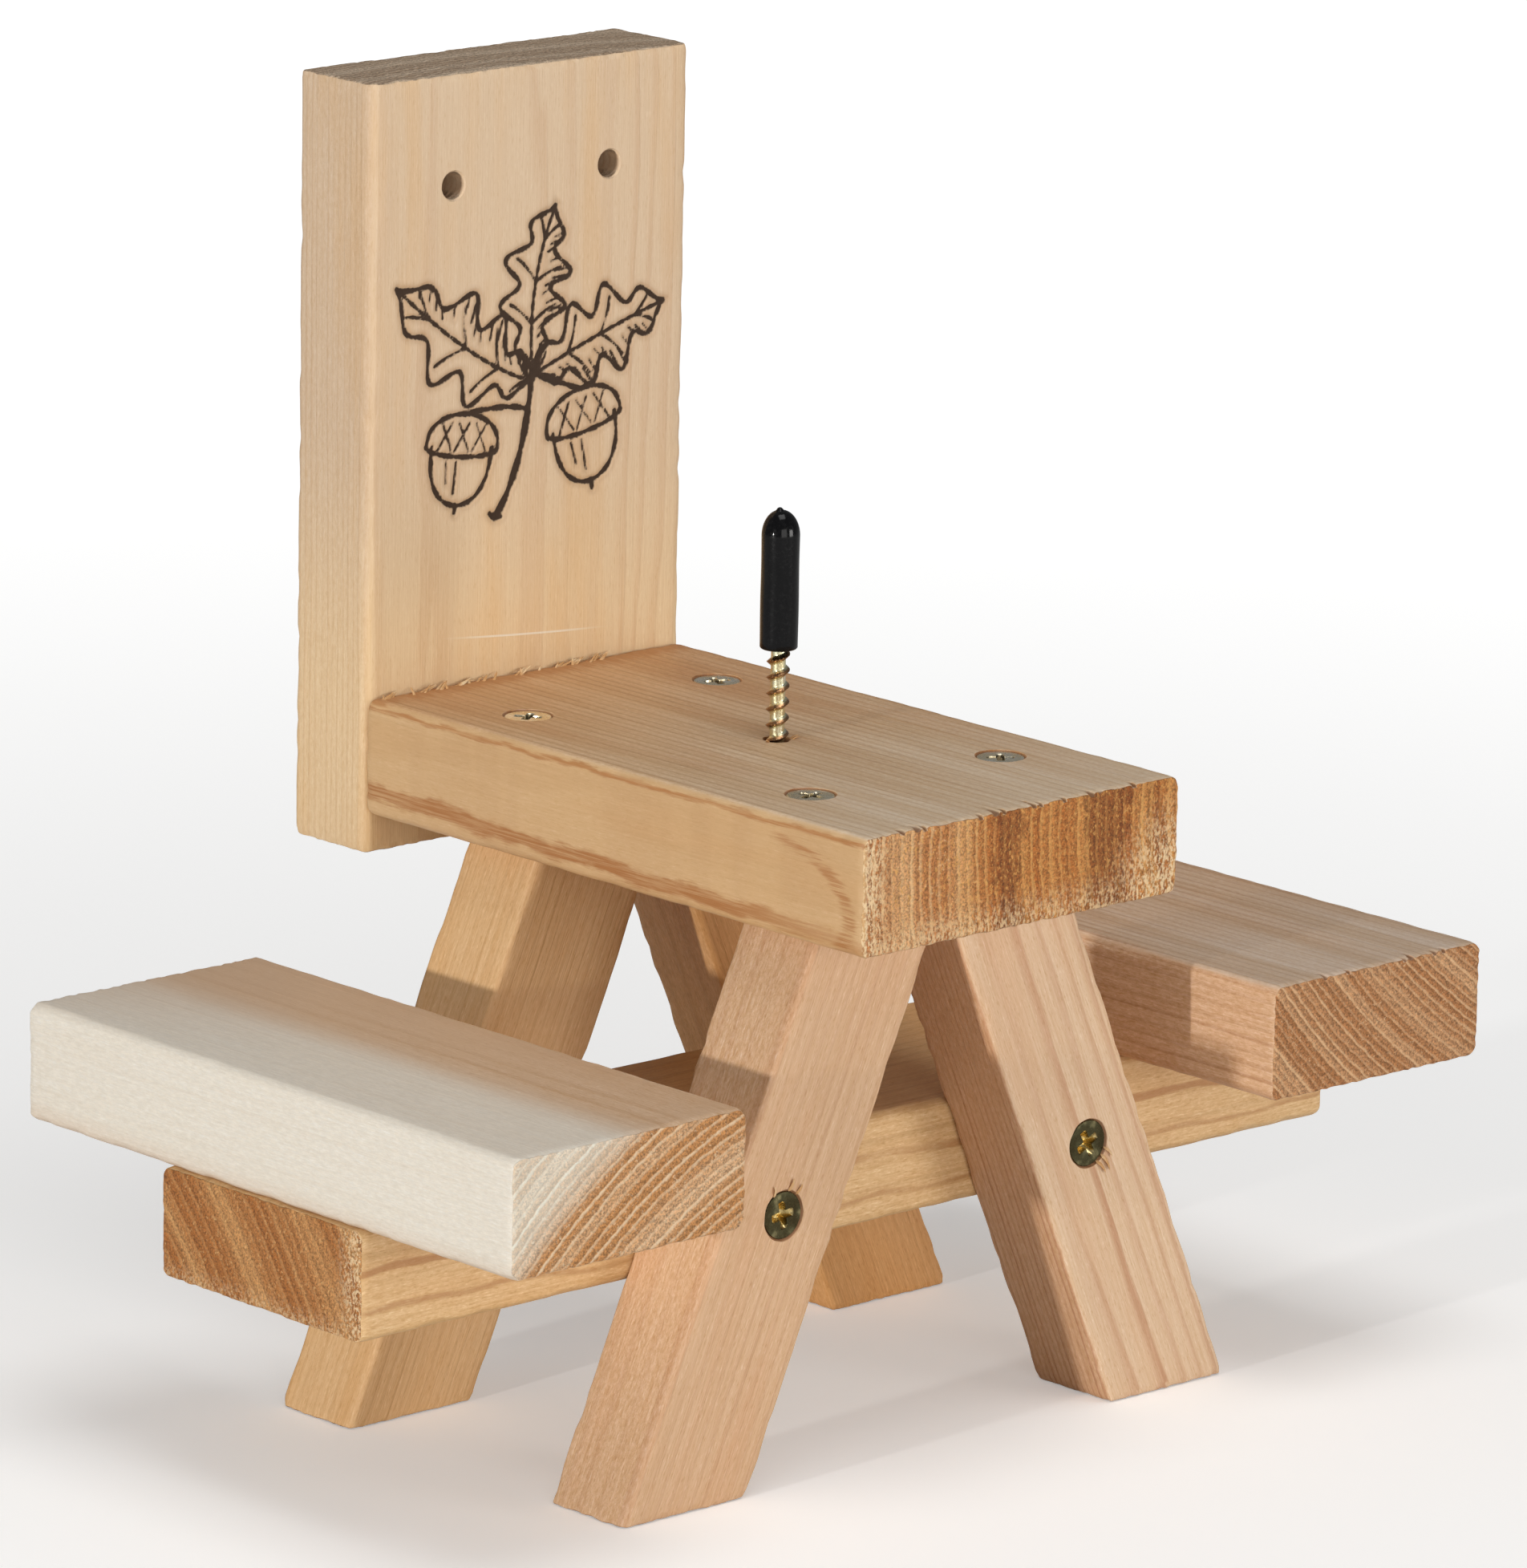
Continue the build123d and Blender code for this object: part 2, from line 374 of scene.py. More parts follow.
def chipped_edges(points, low, high, grain, seed):
    """Points near a long edge moved in from both of its faces by uneven depths
    that change along the grain, each edge with depths of its own."""
    across = [axis for axis in range(3) if axis != grain]
    moved = points.copy()
    inward = np.sign((low[across] + high[across]) / 2 - points[:, across])
    inside = np.minimum(points[:, across] - low[across], high[across] - points[:, across])
    near = np.clip(1 - inside / LONG_RADIUS, 0, 1).prod(axis=1)
    edge = CHIP_LENGTH * (inward @ np.array([1, 3]) + 4)
    depth = lattice_noise(edge, points[:, grain] - low[grain], CHIP_LENGTH, seed) ** 2
    moved[:, across] += inward * (CHIP_DEPTH * near * depth)[:, None]
    return moved


def worn(points, low, high, grain, number):
    """Chipped long edges and rough ends, with the random heights of one board."""
    points = chipped_edges(points, low, high, grain, number * 10 + 7)
    return rough_ends(points, low, high, grain, number * 10)


def torn_share(points, low, high, tears):
    """How far each point of the top lies in a tear, from 0 to 1: a tear is a
    notch at the free end that narrows and slants as it runs in."""
    torn = np.zeros(len(points))
    for x, half, reach in tears:
        inward = (points[:, 1] - low[1]) / reach
        aside = np.abs(points[:, 0] - x - TEAR_SLANT * inward) / (half * np.clip(1 - inward, 0.2, 1))
        notch = np.clip(1 - aside ** 2, 0, 1) * np.clip(1.1 - inward, 0, 1)
        torn = np.maximum(torn, notch * (points[:, 2] > high[2] - TEAR_SKIN))
    return torn


print("ends uneven by", END_RELIEF, "mm, edges chipped by", CHIP_DEPTH, "mm at most")

# %% [markdown]
# ## Where the screws are
#
# The frame gives the box round each group of screws, not each screw, but the
# table is symmetric, so the rows follow from the boxes of the boards: the same
# few distances that set them out in the CAD set them out here.

# %% Screw places
table_low, table_high = node_box("table_top")
back_low, back_high = node_box("back_board")
beam_low, beam_high = node_box("seat_beam")
front_low, front_high = node_box("front_right_leg")
rear_low, rear_high = node_box("rear_right_leg")
long_low, long_high = node_box("long_screws")
short_low, short_high = node_box("short_screws")
spike_low, spike_high = node_box("corn_spike")
cap_low, cap_high = node_box("spike_cap")

HEAD_RADIUS = 5.0
THREAD_RADIUS = 2.5
HEAD_CONE = (HEAD_RADIUS - THREAD_RADIUS) / np.tan(radians(41))
REAR_ROW_SHIFT = 2.6
LEG_SCREW_RISE = 3.5
BACK_SCREW_X = 16.0
SEAT_SCREW_REACH = 18.0
LEG_LEVEL_WIDTH = 33.95
SIDES = (-1, 1)

table_head_z = long_high[2]
sink = table_high[2] - table_head_z
table_screw_x = long_high[0] - HEAD_RADIUS
front_row_y = long_low[1] + HEAD_RADIUS
rear_row_y = (rear_low[1] + rear_high[1]) / 2 + REAR_ROW_SHIFT
back_screw_z = (table_low[2] + table_high[2]) / 2
leg_screw_z = (beam_low[2] + beam_high[2]) / 2 + LEG_SCREW_RISE
seat_screw_x = short_high[0] - HEAD_RADIUS
beam_mid_y = (beam_low[1] + beam_high[1]) / 2
spike_y = (spike_low[1] + spike_high[1]) / 2
leg_slope = (front_high[0] - front_low[0] - LEG_LEVEL_WIDTH) / front_high[2]


def leg_inner_x(z):
    """Inner edge of a right-hand leg at height z."""
    return front_low[0] + (front_high[2] - z) * leg_slope


leg_screw_x = leg_inner_x(leg_screw_z) + LEG_LEVEL_WIDTH / 2

# Each head's centre and the way it faces
long_screws = [((s * table_screw_x, y, table_head_z), Z) for y in (front_row_y, rear_row_y) for s in SIDES]
long_screws += [((s * BACK_SCREW_X, back_high[1] - sink, back_screw_z), Y) for s in SIDES]
short_screws = [((s * leg_screw_x, front_low[1] + sink, leg_screw_z), -Y) for s in SIDES]
short_screws += [((s * leg_screw_x, rear_high[1] - sink, leg_screw_z), Y) for s in SIDES]
short_screws += [
    ((s * seat_screw_x, beam_mid_y + t * SEAT_SCREW_REACH, beam_low[2] + sink), -Z)
    for s in SIDES for t in SIDES
]
print("table screws at", round(table_screw_x, 2), "leg screws at", round(leg_screw_x, 2))

# %% Pit profiles
HEAD_GAP = 0.24
PIT_DEPTH = 12.0
SCREW_BLOCK = 7.5
HEAD_ROUGH = 0.02
LEG_ROUGH = 0.03
SPIKE_HOLE = 2.65
SPIKE_BLOCK = 4.0
SPIKE_ROUGH = 0.12
head_pit = (
    (HEAD_RADIUS + 2 * HEAD_GAP, 0), (HEAD_RADIUS + HEAD_GAP, sink),
    (THREAD_RADIUS + HEAD_GAP, sink + HEAD_CONE), (THREAD_RADIUS + HEAD_GAP, PIT_DEPTH), (0, PIT_DEPTH),
)
spike_pit = (
    (SPIKE_HOLE + 0.45, 0), (SPIKE_HOLE + 0.1, 0.5), (SPIKE_HOLE, 1.2), (SPIKE_HOLE, PIT_DEPTH),
    (0, PIT_DEPTH),
)


def head_pits(heads, axis, side, level):
    """Pits for the screw heads that lie on one face of a board."""
    found = []
    for centre, facing in heads:
        if facing[axis] == side and abs(centre[axis] + side * sink - level) < 0.1:
            spot = np.array(centre)
            spot[axis] = level
            found.append(Pit(axis, side, spot, SCREW_BLOCK, head_pit, HEAD_ROUGH))
    return found


print("heads sunk", round(sink, 2), "mm in pits", PIT_DEPTH, "mm deep")

# %% [markdown]
# ## Table, seats and beam
#
# The table top shows four screw heads and the foot of the spike, and its
# underside the head of the spike. The saw tore small notches into the upper
# edge of its free end and of the right seat's. The seats are plain boards. The
# beam below them has two screws under each seat.

# %% Table top, seats and beam
PIECE_NAMES = {"table_top": "table_board", "seat_beam": "beam_board"}
# Place across the board, half width and length of each tear
TEARS = {
    "table_top": (
        (-33.5, 0.7, 4.0), (-29.2, 0.9, 6.0), (-27.4, 0.6, 4.5), (-11.8, 0.7, 3.6),
        (-7.4, 1.0, 6.2), (-5.2, 0.6, 4.0), (3.1, 0.8, 6.4), (5.0, 0.6, 4.6),
        (11.6, 0.6, 3.4), (19.4, 0.9, 5.0), (22.0, 0.6, 3.2), (31.5, 0.7, 3.6)),
    "right_seat": (
        (89.5, 0.5, 4.0), (96.5, 0.5, 4.6), (113.4, 0.6, 3.0), (115.4, 0.7, 5.0),
        (122.4, 0.7, 4.0), (125.2, 0.6, 3.4)),
}
# A board's grid: the step across its ends, the length of the fine stretch at
# each end and the number of lines in it
Fine = namedtuple("Fine", "step run count")
PLAIN_ENDS = Fine(0.9, 2.4, 3)
TABLE_ENDS = Fine(0.6, 8.0, 16)
SEAT_ENDS = Fine(0.6, 6.0, 12)
boards = {}


def end_lines(low, high, fine):
    """The finely gridded stretches at both ends of a board."""
    return (low + END_RADIUS, low + fine.run, fine.count), (high - fine.run, high - END_RADIUS, fine.count)


def side_lines(low, high, step):
    """The finely gridded stretch across a board."""
    return ((low + LONG_RADIUS, high - LONG_RADIUS, int((high - low - 2 * LONG_RADIUS) / step)),)


def rough_board(name, low, high, grain, pits=(), ends=PLAIN_ENDS, lean=unmoved, radius=LONG_RADIUS):
    """A board with chipped edges and finely gridded, rough ends, and with its
    torn top edge where it has one; how far each point is torn goes to the
    material.  A leaning board is set upright, roughened and leant again."""
    fine = [side_lines(low[axis], high[axis], ends.step) for axis in range(3)]
    fine[grain] = end_lines(low[grain], high[grain], ends)
    points, faces = board(low, high, grain, pits, lean, fine, radius)
    points = lean(points, -1)
    torn = torn_share(points, low, high, TEARS.get(name, ()))
    points = worn(points, low, high, grain, len(boards))
    points[:, 2] -= TEAR_DEPTH * torn
    points = lean(points)
    made = make_piece(PIECE_NAMES.get(name, name + "_board"), points, faces)
    mark(made, "torn", torn)
    # Points inside the pits, where the material paints crushed wood and shade.
    mark(made, "pit_crush_and_shade", in_pits(points, pits, lean))
    boards[name] = made


table_pits = head_pits(long_screws, 2, 1, table_high[2])
table_pits.append(Pit(2, 1, np.array([0, spike_y, table_high[2]]), SPIKE_BLOCK, spike_pit, SPIKE_ROUGH))
table_pits.append(Pit(2, -1, np.array([0, spike_y, table_low[2]]), SCREW_BLOCK, head_pit, HEAD_ROUGH))
rough_board("table_top", table_low, table_high, 1, table_pits, TABLE_ENDS)
rough_board("left_seat", *node_box("left_seat"), 1)
rough_board("right_seat", *node_box("right_seat"), 1, (), SEAT_ENDS)
rough_board("seat_beam", beam_low, beam_high, 0, head_pits(short_screws, 2, -1, beam_low[2]))

# %% [markdown]
# ## Legs
#
# A leg is a board cut level at both ends, so it is a board that leans. The
# easing rule works on an upright board, and a shear then slides every level
# sideways. Its pits are drawn after the shear, so they stay round, and for the
# chips and rough ends the leg is set upright once more.

# %% Legs
leg_rows = {"front": (-1, front_low[1], front_high[1]), "rear": (1, rear_low[1], rear_high[1])}
for row, (outer, y_low, y_high) in leg_rows.items():
    for side_name, side in zip(("left", "right"), SIDES):

        def lean(points, sign=1, side=side):
            """Slide each level of an upright board out to the leg's line, or
            back with sign -1."""
            moved = points.copy()
            moved[..., 0] += sign * side * leg_inner_x(points[..., 2])
            return moved

        across = sorted((0, side * LEG_LEVEL_WIDTH))
        low = np.array([across[0], y_low, 0.0])
        high = np.array([across[1], y_high, front_high[2]])
        spot = np.array([side * LEG_LEVEL_WIDTH / 2, y_low if outer < 0 else y_high, leg_screw_z])
        pit = Pit(1, outer, spot, SCREW_BLOCK, head_pit, LEG_ROUGH)
        rough_board(f"{row}_{side_name}_leg", low, high, 2, [pit], lean=lean, radius=LEG_RADIUS)

# %% [markdown]
# ## Back board and its burned sprig
#
# Such boards carry a picture burned into the wood with a hot iron: dark grooves
# about a millimetre wide with a brown halo. This one shows a plain oak sprig.
# Each stroke is a curve worked out by a formula. The front face is gridded
# finely, every point gets its distance to the nearest stroke, and that distance
# both sinks the groove and goes to the material as an attribute, where it
# stays crisp between grid points.

# %% Strokes of the sprig
Stroke = namedtuple("Stroke", "points width")
OUTLINE = 1.05
VEIN = 0.7
HATCH = 0.55
STALK = 1.2
LOBE_POINTS = 24


def curve(start, control, end, count=24):
    """A bend from start to end, drawn towards a control point."""
    t = np.linspace(0, 1, count)[:, None]
    start, control, end = (np.array(p, float) for p in (start, control, end))
    return (1 - t) ** 2 * start + 2 * t * (1 - t) * control + t ** 2 * end


def leaf(start, control, end, width, lobes):
    """An oak leaf: a bent midrib, two edges whose distance from it is a long
    swell times a wave with one crest to each lobe, a vein to each crest, and
    short hatching strokes inside one edge."""
    count = LOBE_POINTS * lobes
    middle = curve(start, control, end, count)
    along = np.gradient(middle, axis=0)
    along /= np.linalg.norm(along, axis=1)[:, None]
    across = np.stack([-along[:, 1], along[:, 0]], axis=1)
    t = np.linspace(0, 1, count)
    half = width / 2 * np.sin(pi * t ** 1.05) ** 0.85 * (0.72 - 0.28 * np.cos(2 * pi * lobes * t))
    strokes = [Stroke(middle, VEIN * 1.2)]
    for side in SIDES:
        strokes.append(Stroke(middle + side * half[:, None] * across, OUTLINE))
        for lobe in range(lobes):
            root = int((lobe + 0.1) * LOBE_POINTS)
            crest = min(int((lobe + 0.55) * LOBE_POINTS), count - 1)
            tip = middle[crest] + side * 0.7 * half[crest] * across[crest]
            bend = (middle[root] + tip) / 2 + along[root]
            strokes.append(Stroke(curve(middle[root], bend, tip, 8), VEIN))
    for spot in range(count // 6, count - 8, 5):
        inward = middle[spot] - 0.86 * half[spot] * across[spot]
        hatch_end = inward + 0.34 * half[spot] * across[spot] - along[spot]
        strokes.append(Stroke(np.stack([inward, hatch_end]), HATCH))
    return strokes


def acorn(top, tilt, size):
    """An acorn hanging from a point: a pointed half oval under a cup, the cup
    crossed by slanting lines, all turned by a tilt in degrees."""
    c, s = cos(radians(tilt)), sin(radians(tilt))
    turn = np.array([[c, -s], [s, c]])
    a = np.linspace(0, pi, 40)
    nut = np.stack([0.42 * np.cos(a), -0.36 - 0.62 * np.sin(a) ** 0.75], axis=1)
    cup = np.stack([0.5 * np.cos(a), -0.36 + 0.36 * np.sin(a) ** 0.8], axis=1)
    rim = np.stack([0.5 * np.cos(a), -0.36 - 0.1 * np.sin(a)], axis=1)
    tip = np.array([[0, -0.97], [0.0, -1.06]])
    shapes = [(line, OUTLINE) for line in (nut, cup, rim, tip)]
    for slant in SIDES:
        for x in (-0.24, 0.0, 0.24):
            shapes.append((np.array([[x - 0.1 * slant, -0.4], [x + 0.07 * slant, -0.1]]), HATCH))
    for x, low in ((-0.2, -0.75), (-0.06, -0.85)):
        shapes.append((np.array([[x, -0.52], [0.85 * x, low]]), HATCH))
    return [Stroke(np.array(top) + size * points @ turn.T, width) for points, width in shapes]


SPRIG = [
    Stroke(curve((-9, 176.5), (-1, 186), (1, 207)), 1.7),
    Stroke(curve((1, 207), (5, 205), (14.5, 201.5)), STALK),
    Stroke(curve((-0.5, 199), (-6, 201), (-17.5, 200)), STALK),
    Stroke(curve((-10.6, 177.6), (-9.2, 176.2), (-7.4, 176.6), 8), 1.3),
]
SPRIG += leaf((0.5, 205), (-15, 210), (-37, 229), 23, 4)
SPRIG += leaf((1, 206), (19, 213), (38, 218), 21, 4)
SPRIG += leaf((1, 207), (-1, 226), (7, 242), 20, 4)
SPRIG += acorn((-17.5, 200), -8, 20)
SPRIG += acorn((14.5, 201.5), 10, 21)
print("sprig:", len(SPRIG), "strokes")

# %% Distance to the strokes
FAR = 9.0
STROKE_MARGIN = 4
SWELL = 0.22


def stroke_distance(spots):
    """Distance from each spot (x, z) to the edge of the nearest stroke, less
    than nothing inside it: the distance to each short run of the stroke's line
    less half the stroke's width, which swells and thins a little."""
    nearest = np.full(len(spots), FAR)
    for number, stroke in enumerate(SPRIG):
        start, step = stroke.points[:-1], np.diff(stroke.points, axis=0)
        lows, highs = stroke.points.min(axis=0) - STROKE_MARGIN, stroke.points.max(axis=0) + STROKE_MARGIN
        near = np.flatnonzero(((spots > lows) & (spots < highs)).all(axis=1))
        to_spot = spots[near][:, None] - start[None]
        share = np.clip((to_spot * step).sum(axis=2) / np.maximum((step ** 2).sum(axis=1), 1e-9), 0, 1)
        gap = np.linalg.norm(to_spot - share[..., None] * step, axis=2)
        gap -= stroke.width / 2 * (1 + SWELL * np.sin(0.9 * np.arange(len(step)) + 1.7 * number))
        nearest[near] = np.minimum(nearest[near], gap.min(axis=1))
    return nearest


widths = [stroke.width for stroke in SPRIG]
print("strokes", min(widths), "to", max(widths), "mm wide")

# %% Back board
GROOVE_DEPTH = 0.45
GROOVE_WALL = 0.35
HANGER_X = 21.8
HANGER_DROP = 23.9
HANGER_RADIUS = 3.0
HANGER_BLOCK = 5.0
HANGER_RIM = 0.35
BACK_DEPTH_LINES = 16
SPRIG_ACROSS = (-38.5, 38.5, 160)
SPRIG_UP = (175.0, 242.5, 140)
thickness = back_high[1] - back_low[1]
mouth = HANGER_RADIUS + HANGER_RIM
hanging_hole = (
    (mouth, 0), (HANGER_RADIUS, HANGER_RIM), (HANGER_RADIUS, thickness - HANGER_RIM), (mouth, thickness),
)
back_heads = head_pits(long_screws, 1, 1, back_high[1])
back_pits = list(back_heads)
for s in SIDES:
    for side, level, profile in ((-1, back_low[1], hanging_hole), (1, back_high[1], hanging_hole[:1])):
        spot = np.array([s * HANGER_X, level, back_high[2] - HANGER_DROP])
        back_pits.append(Pit(1, side, spot, HANGER_BLOCK, profile, 0.0))
back_fine = (
    (SPRIG_ACROSS,),
    ((back_low[1] + LONG_RADIUS, back_high[1] - LONG_RADIUS, BACK_DEPTH_LINES),),
    (SPRIG_UP, *end_lines(back_low[2], back_high[2], PLAIN_ENDS)),
)
points, faces = board(back_low, back_high, 2, back_pits, fine=back_fine)
distance = np.full(len(points), FAR)
on_front = points[:, 1] < back_low[1] + 0.01
distance[on_front] = stroke_distance(points[on_front][:, [0, 2]])
sunk = np.clip(0.5 - distance / (2 * GROOVE_WALL), 0, 1)
points[:, 1] += np.where(on_front, GROOVE_DEPTH * sunk * sunk * (3 - 2 * sunk), 0)
points = worn(points, back_low, back_high, 2, len(boards))
boards["back_board"] = make_piece("back_board_burned", points, faces)
mark(boards["back_board"], "burn_distance", distance)
# Points inside the head pits, where the material paints crushed wood and shade.
mark(boards["back_board"], "pit_crush_and_shade", in_pits(points, back_heads))
for name, piece in boards.items():
    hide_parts(name)
print("burned points:", int((distance < 0).sum()))

# %% [markdown]
# ## Screws
#
# The visible screws are flat-headed with a cross recess. The head's top is a
# square grid of points: lines fall on the edges of the recess, which sinks
# where a point lies in one of its wings, and the square is then drawn out to a
# disc. Rings carry the rim of that disc down the cone and the shank.

# %% Screw heads
RECESS_HALF_SPAN = 3.1
RECESS_FLOOR = 1.2
RECESS_DEPTH = 2.4
RECESS_START = 0.2
WING_TOP = 0.95
WING_FLOOR = 0.6
RIM_BREAK = 0.14
RIM_HEIGHT = 0.35
SCREW_POINT = 5.0
HEAD_SIDE = ((HEAD_RADIUS, RIM_BREAK), (HEAD_RADIUS, RIM_HEIGHT), (THREAD_RADIUS, HEAD_CONE))
half_lines = np.array(
    [WING_FLOOR, WING_TOP, 1.4, 1.9, 2.4, 2.8, RECESS_HALF_SPAN, 3.6, 4.1, 4.55, HEAD_RADIUS]
)
head_lines = np.concatenate([-half_lines[::-1], [0], half_lines])


def head_top():
    """Points of a head's top.  Depth along a wing falls from nothing at its
    end to the floor.  A point's larger side m sets how far the square is
    drawn out to a disc: the point is scaled by m over its distance."""
    x, y = np.meshgrid(head_lines, head_lines, indexing="ij")
    ax, ay = np.abs(x), np.abs(y)
    slope_x = np.clip((RECESS_HALF_SPAN - ax) / (RECESS_HALF_SPAN - RECESS_FLOOR), 0, 1)
    slope_y = np.clip((RECESS_HALF_SPAN - ay) / (RECESS_HALF_SPAN - RECESS_FLOOR), 0, 1)
    depth = RECESS_DEPTH * np.maximum(slope_x * (ay < WING_TOP), slope_y * (ax < WING_TOP))
    m, distance_out = np.maximum(ax, ay), np.hypot(x, y)
    ratio = np.divide(m, distance_out, out=np.ones_like(m), where=distance_out > 0)
    roundness = m / HEAD_RADIUS
    scale = (1 - roundness + roundness * ratio) * (HEAD_RADIUS - RIM_BREAK) / HEAD_RADIUS
    return np.stack([x * scale, y * scale, -depth], axis=-1)


def screw(length):
    """A screw along -Z with its head's top at the origin, as patches."""
    top = head_top()
    profile = (*HEAD_SIDE, (THREAD_RADIUS, length - SCREW_POINT), (0, length))
    side = rings(border(top), np.zeros(3), Z, profile)
    return [flipped(grid(top)), flipped(grid(side))]


def facing_turn(facing, spin):
    """A turn that takes +Z to a direction, after a spin about +Z in degrees."""
    c, s = cos(radians(spin)), sin(radians(spin))
    spun = np.array([[c, -s, 0], [s, c, 0], [0, 0, 1]])
    side = X if abs(facing @ X) < 0.5 else Y
    return np.stack([side, np.cross(facing, side), facing], axis=1) @ spun


def screw_group(name, heads, length, spins, node):
    """All screws of one length, each with its own spin."""
    patches = []
    for (centre, facing), spin in zip(heads, spins):
        turn = facing_turn(facing, spin)
        patches += [(points @ turn.T + np.array(centre), faces) for points, faces in screw(length)]
    points, faces = weld(patches)
    made = make_piece(name, points, faces)
    recess = np.zeros(len(points))
    for centre, facing in heads:
        below, aside = under(points, np.array(centre), facing)
        deep = (below > RECESS_START) & (below < RECESS_DEPTH + 0.1)
        recess[deep & (aside < RECESS_HALF_SPAN + 0.1)] = 1
    mark(made, "recess", recess)
    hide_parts(node)
    return made


long_spins = (12, 50, 35, 70, 20, 65)
short_spins = (8, 28, 40, 15, 0, 33, 50, 70)
long_length = long_high[2] - long_low[2]
short_length = short_high[2] - short_low[2]
long_piece = screw_group("long_wood_screws", long_screws, long_length, long_spins, "long_screws")
short_piece = screw_group("short_wood_screws", short_screws, short_length, short_spins, "short_screws")

# %% [markdown]
# ## Torn slivers
#
# Driving screws into soft cedar lifts a few slivers of wood at the heads, at the
# foot of the spike and where the back board was pressed against the table. A
# sliver is a bent spindle: its line bends from a root in the wood to a free
# tip, and a flat oval that shrinks to nothing at both ends is drawn along it.

# %% Slivers
SLIVER_STEPS = 9
SLIVER_SIDES = 8
FLATNESS = 0.45
ROOT_DEPTH = 0.3
FRINGE = 34
FRINGE_START = -43.0
FRINGE_RUN = 62.0
FRINGE_BEND = (0.0, -0.2, 0.35)
leg_face_y = front_low[1]
# The middle and bend of each tuft, and the root, tip and width of its slivers,
# with roots measured from the middle and tips from the roots
tufts = (
    ((leg_screw_x, leg_face_y + ROOT_DEPTH, leg_screw_z), (0.5, -0.7, 0.3), (
        ((3.8, 0, -3.0), (2.2, -0.8, -3.8), 1.6),
        ((2.4, 0, -4.2), (2.4, -0.8, -3.0), 1.3),
        ((4.6, 0, -1.6), (2.0, -0.8, -2.4), 1.2))),
    ((-leg_screw_x, leg_face_y + ROOT_DEPTH, leg_screw_z), (0.2, -0.6, 0.2), (
        ((-2.6, 0, 4.2), (-0.5, -0.7, 2.6), 1.1),
        ((1.4, 0, 4.8), (0.9, -0.7, 2.8), 1.3),
        ((3.4, 0, 3.8), (1.3, -0.7, 2.2), 1.0))),
    ((0, spike_y, table_high[2] - ROOT_DEPTH), (0.0, 0.1, 0.6), (
        ((2.6, -1.0, 0), (2.4, -0.6, 0.8), 0.9),
        ((2.4, -1.9, 0), (2.0, -0.6, 0.6), 0.8),
        ((-2.7, -0.6, 0), (-1.6, -0.6, 0.7), 0.7))),
)


def sliver(root, tip, bend, width):
    """A closed spindle along a bend from root to tip.  Its half width is the
    width times the square root of the share left to the tip, swelling from
    nothing at the root, and its thickness is a part of that."""
    t = np.linspace(0, 1, SLIVER_STEPS)[:, None]
    root, tip, bend = (np.array(p, float) for p in (root, tip, bend))
    line = curve(root, (root + tip) / 2 + bend, tip, SLIVER_STEPS)
    along = (tip - root) / np.linalg.norm(tip - root)
    out = bend - (bend @ along) * along
    out /= np.linalg.norm(out)
    turn = np.linspace(0, 2 * pi, SLIVER_SIDES + 1)
    turn[-1] = 0
    half = width / 2 * np.sqrt(1 - t) * np.clip(8 * t, 0, 1)
    oval = np.cos(turn)[:, None] * np.cross(along, out) + FLATNESS * np.sin(turn)[:, None] * out
    return line[:, None] + half[:, :, None] * oval[None]


slivers = []
for middle, bend, lifted in tufts:
    for root, tip, width in lifted:
        root = np.add(middle, root)
        slivers.append(sliver(root, root + tip, bend, width))
for place, reach, tilt, size in np.random.default_rng(7).random((FRINGE, 4)):
    root = (FRINGE_START + FRINGE_RUN * place, table_high[1] - 1.6 - 1.6 * reach, table_high[2] - ROOT_DEPTH)
    tip = (root[0] + 6.0 * tilt + 1.0, table_high[1] - 0.4, table_high[2] + 0.3 + 0.9 * reach)
    slivers.append(sliver(root, tip, FRINGE_BEND, 0.4 + 0.5 * size))
sliver_piece = make_piece("torn_slivers", *weld([flipped(grid(points)) for points in slivers]))

# %% [markdown]
# ## Corn spike and its cap
#
# The spike is a coarse-threaded screw with its point upwards. Its radius is a
# core plus a ridge that climbs one pitch in a turn, so one formula in angle and
# height gives the thread. The cap is a dipped sleeve: a profile turned about
# the spike, with a small off-centre nub where the last drop dried.

# %% Spike
PITCH = 3.4
CORE_RADIUS = 1.55
RIDGE_SHARE = 0.24
POINT_LENGTH = 5.0
THREAD_STEP = 0.17
# How far below the table's face the smooth shank ends and the thread starts
SHANK_END = 6.0
CORE_START = 5.5
THREAD_START = 5.0
spike_foot = np.array([0, spike_y, spike_low[2]])


def thread_radius(angle, z):
    """Core plus a ridge whose place along z climbs a pitch for each turn, both
    drawn in to nothing over the length of the point."""
    phase = np.mod((z - table_high[2]) / PITCH - angle / (2 * pi), 1)
    ridge = np.clip(1 - np.abs(phase - 0.5) / RIDGE_SHARE, 0, 1) ** 0.85
    taper = np.clip((spike_high[2] - z) / POINT_LENGTH, 0, 1)
    return (CORE_RADIUS + (THREAD_RADIUS - CORE_RADIUS) * ridge) * taper ** 0.8


head = head_top() * np.array([1, -1, -1]) + spike_foot
loop = border(head)
angle = np.arctan2(loop[:, 1] - spike_y, loop[:, 0])
face_rise = table_high[2] - spike_low[2]
shank = rings(loop, spike_foot, -Z, (
    *HEAD_SIDE, (THREAD_RADIUS, face_rise - SHANK_END), (CORE_RADIUS, face_rise - CORE_START),
))
levels = np.append(np.arange(table_high[2] - THREAD_START, spike_high[2], THREAD_STEP), spike_high[2])
radius = thread_radius(angle[None], levels[:, None])
heights = np.repeat(levels[:, None], len(angle), axis=1)
thread = np.stack([radius * np.cos(angle), radius * np.sin(angle) + spike_y, heights], axis=-1)
spike_patches = [flipped(grid(head)), flipped(grid(np.concatenate([shank, thread])))]
spike_piece = make_piece("threaded_corn_spike", *weld(spike_patches))
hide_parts("corn_spike")

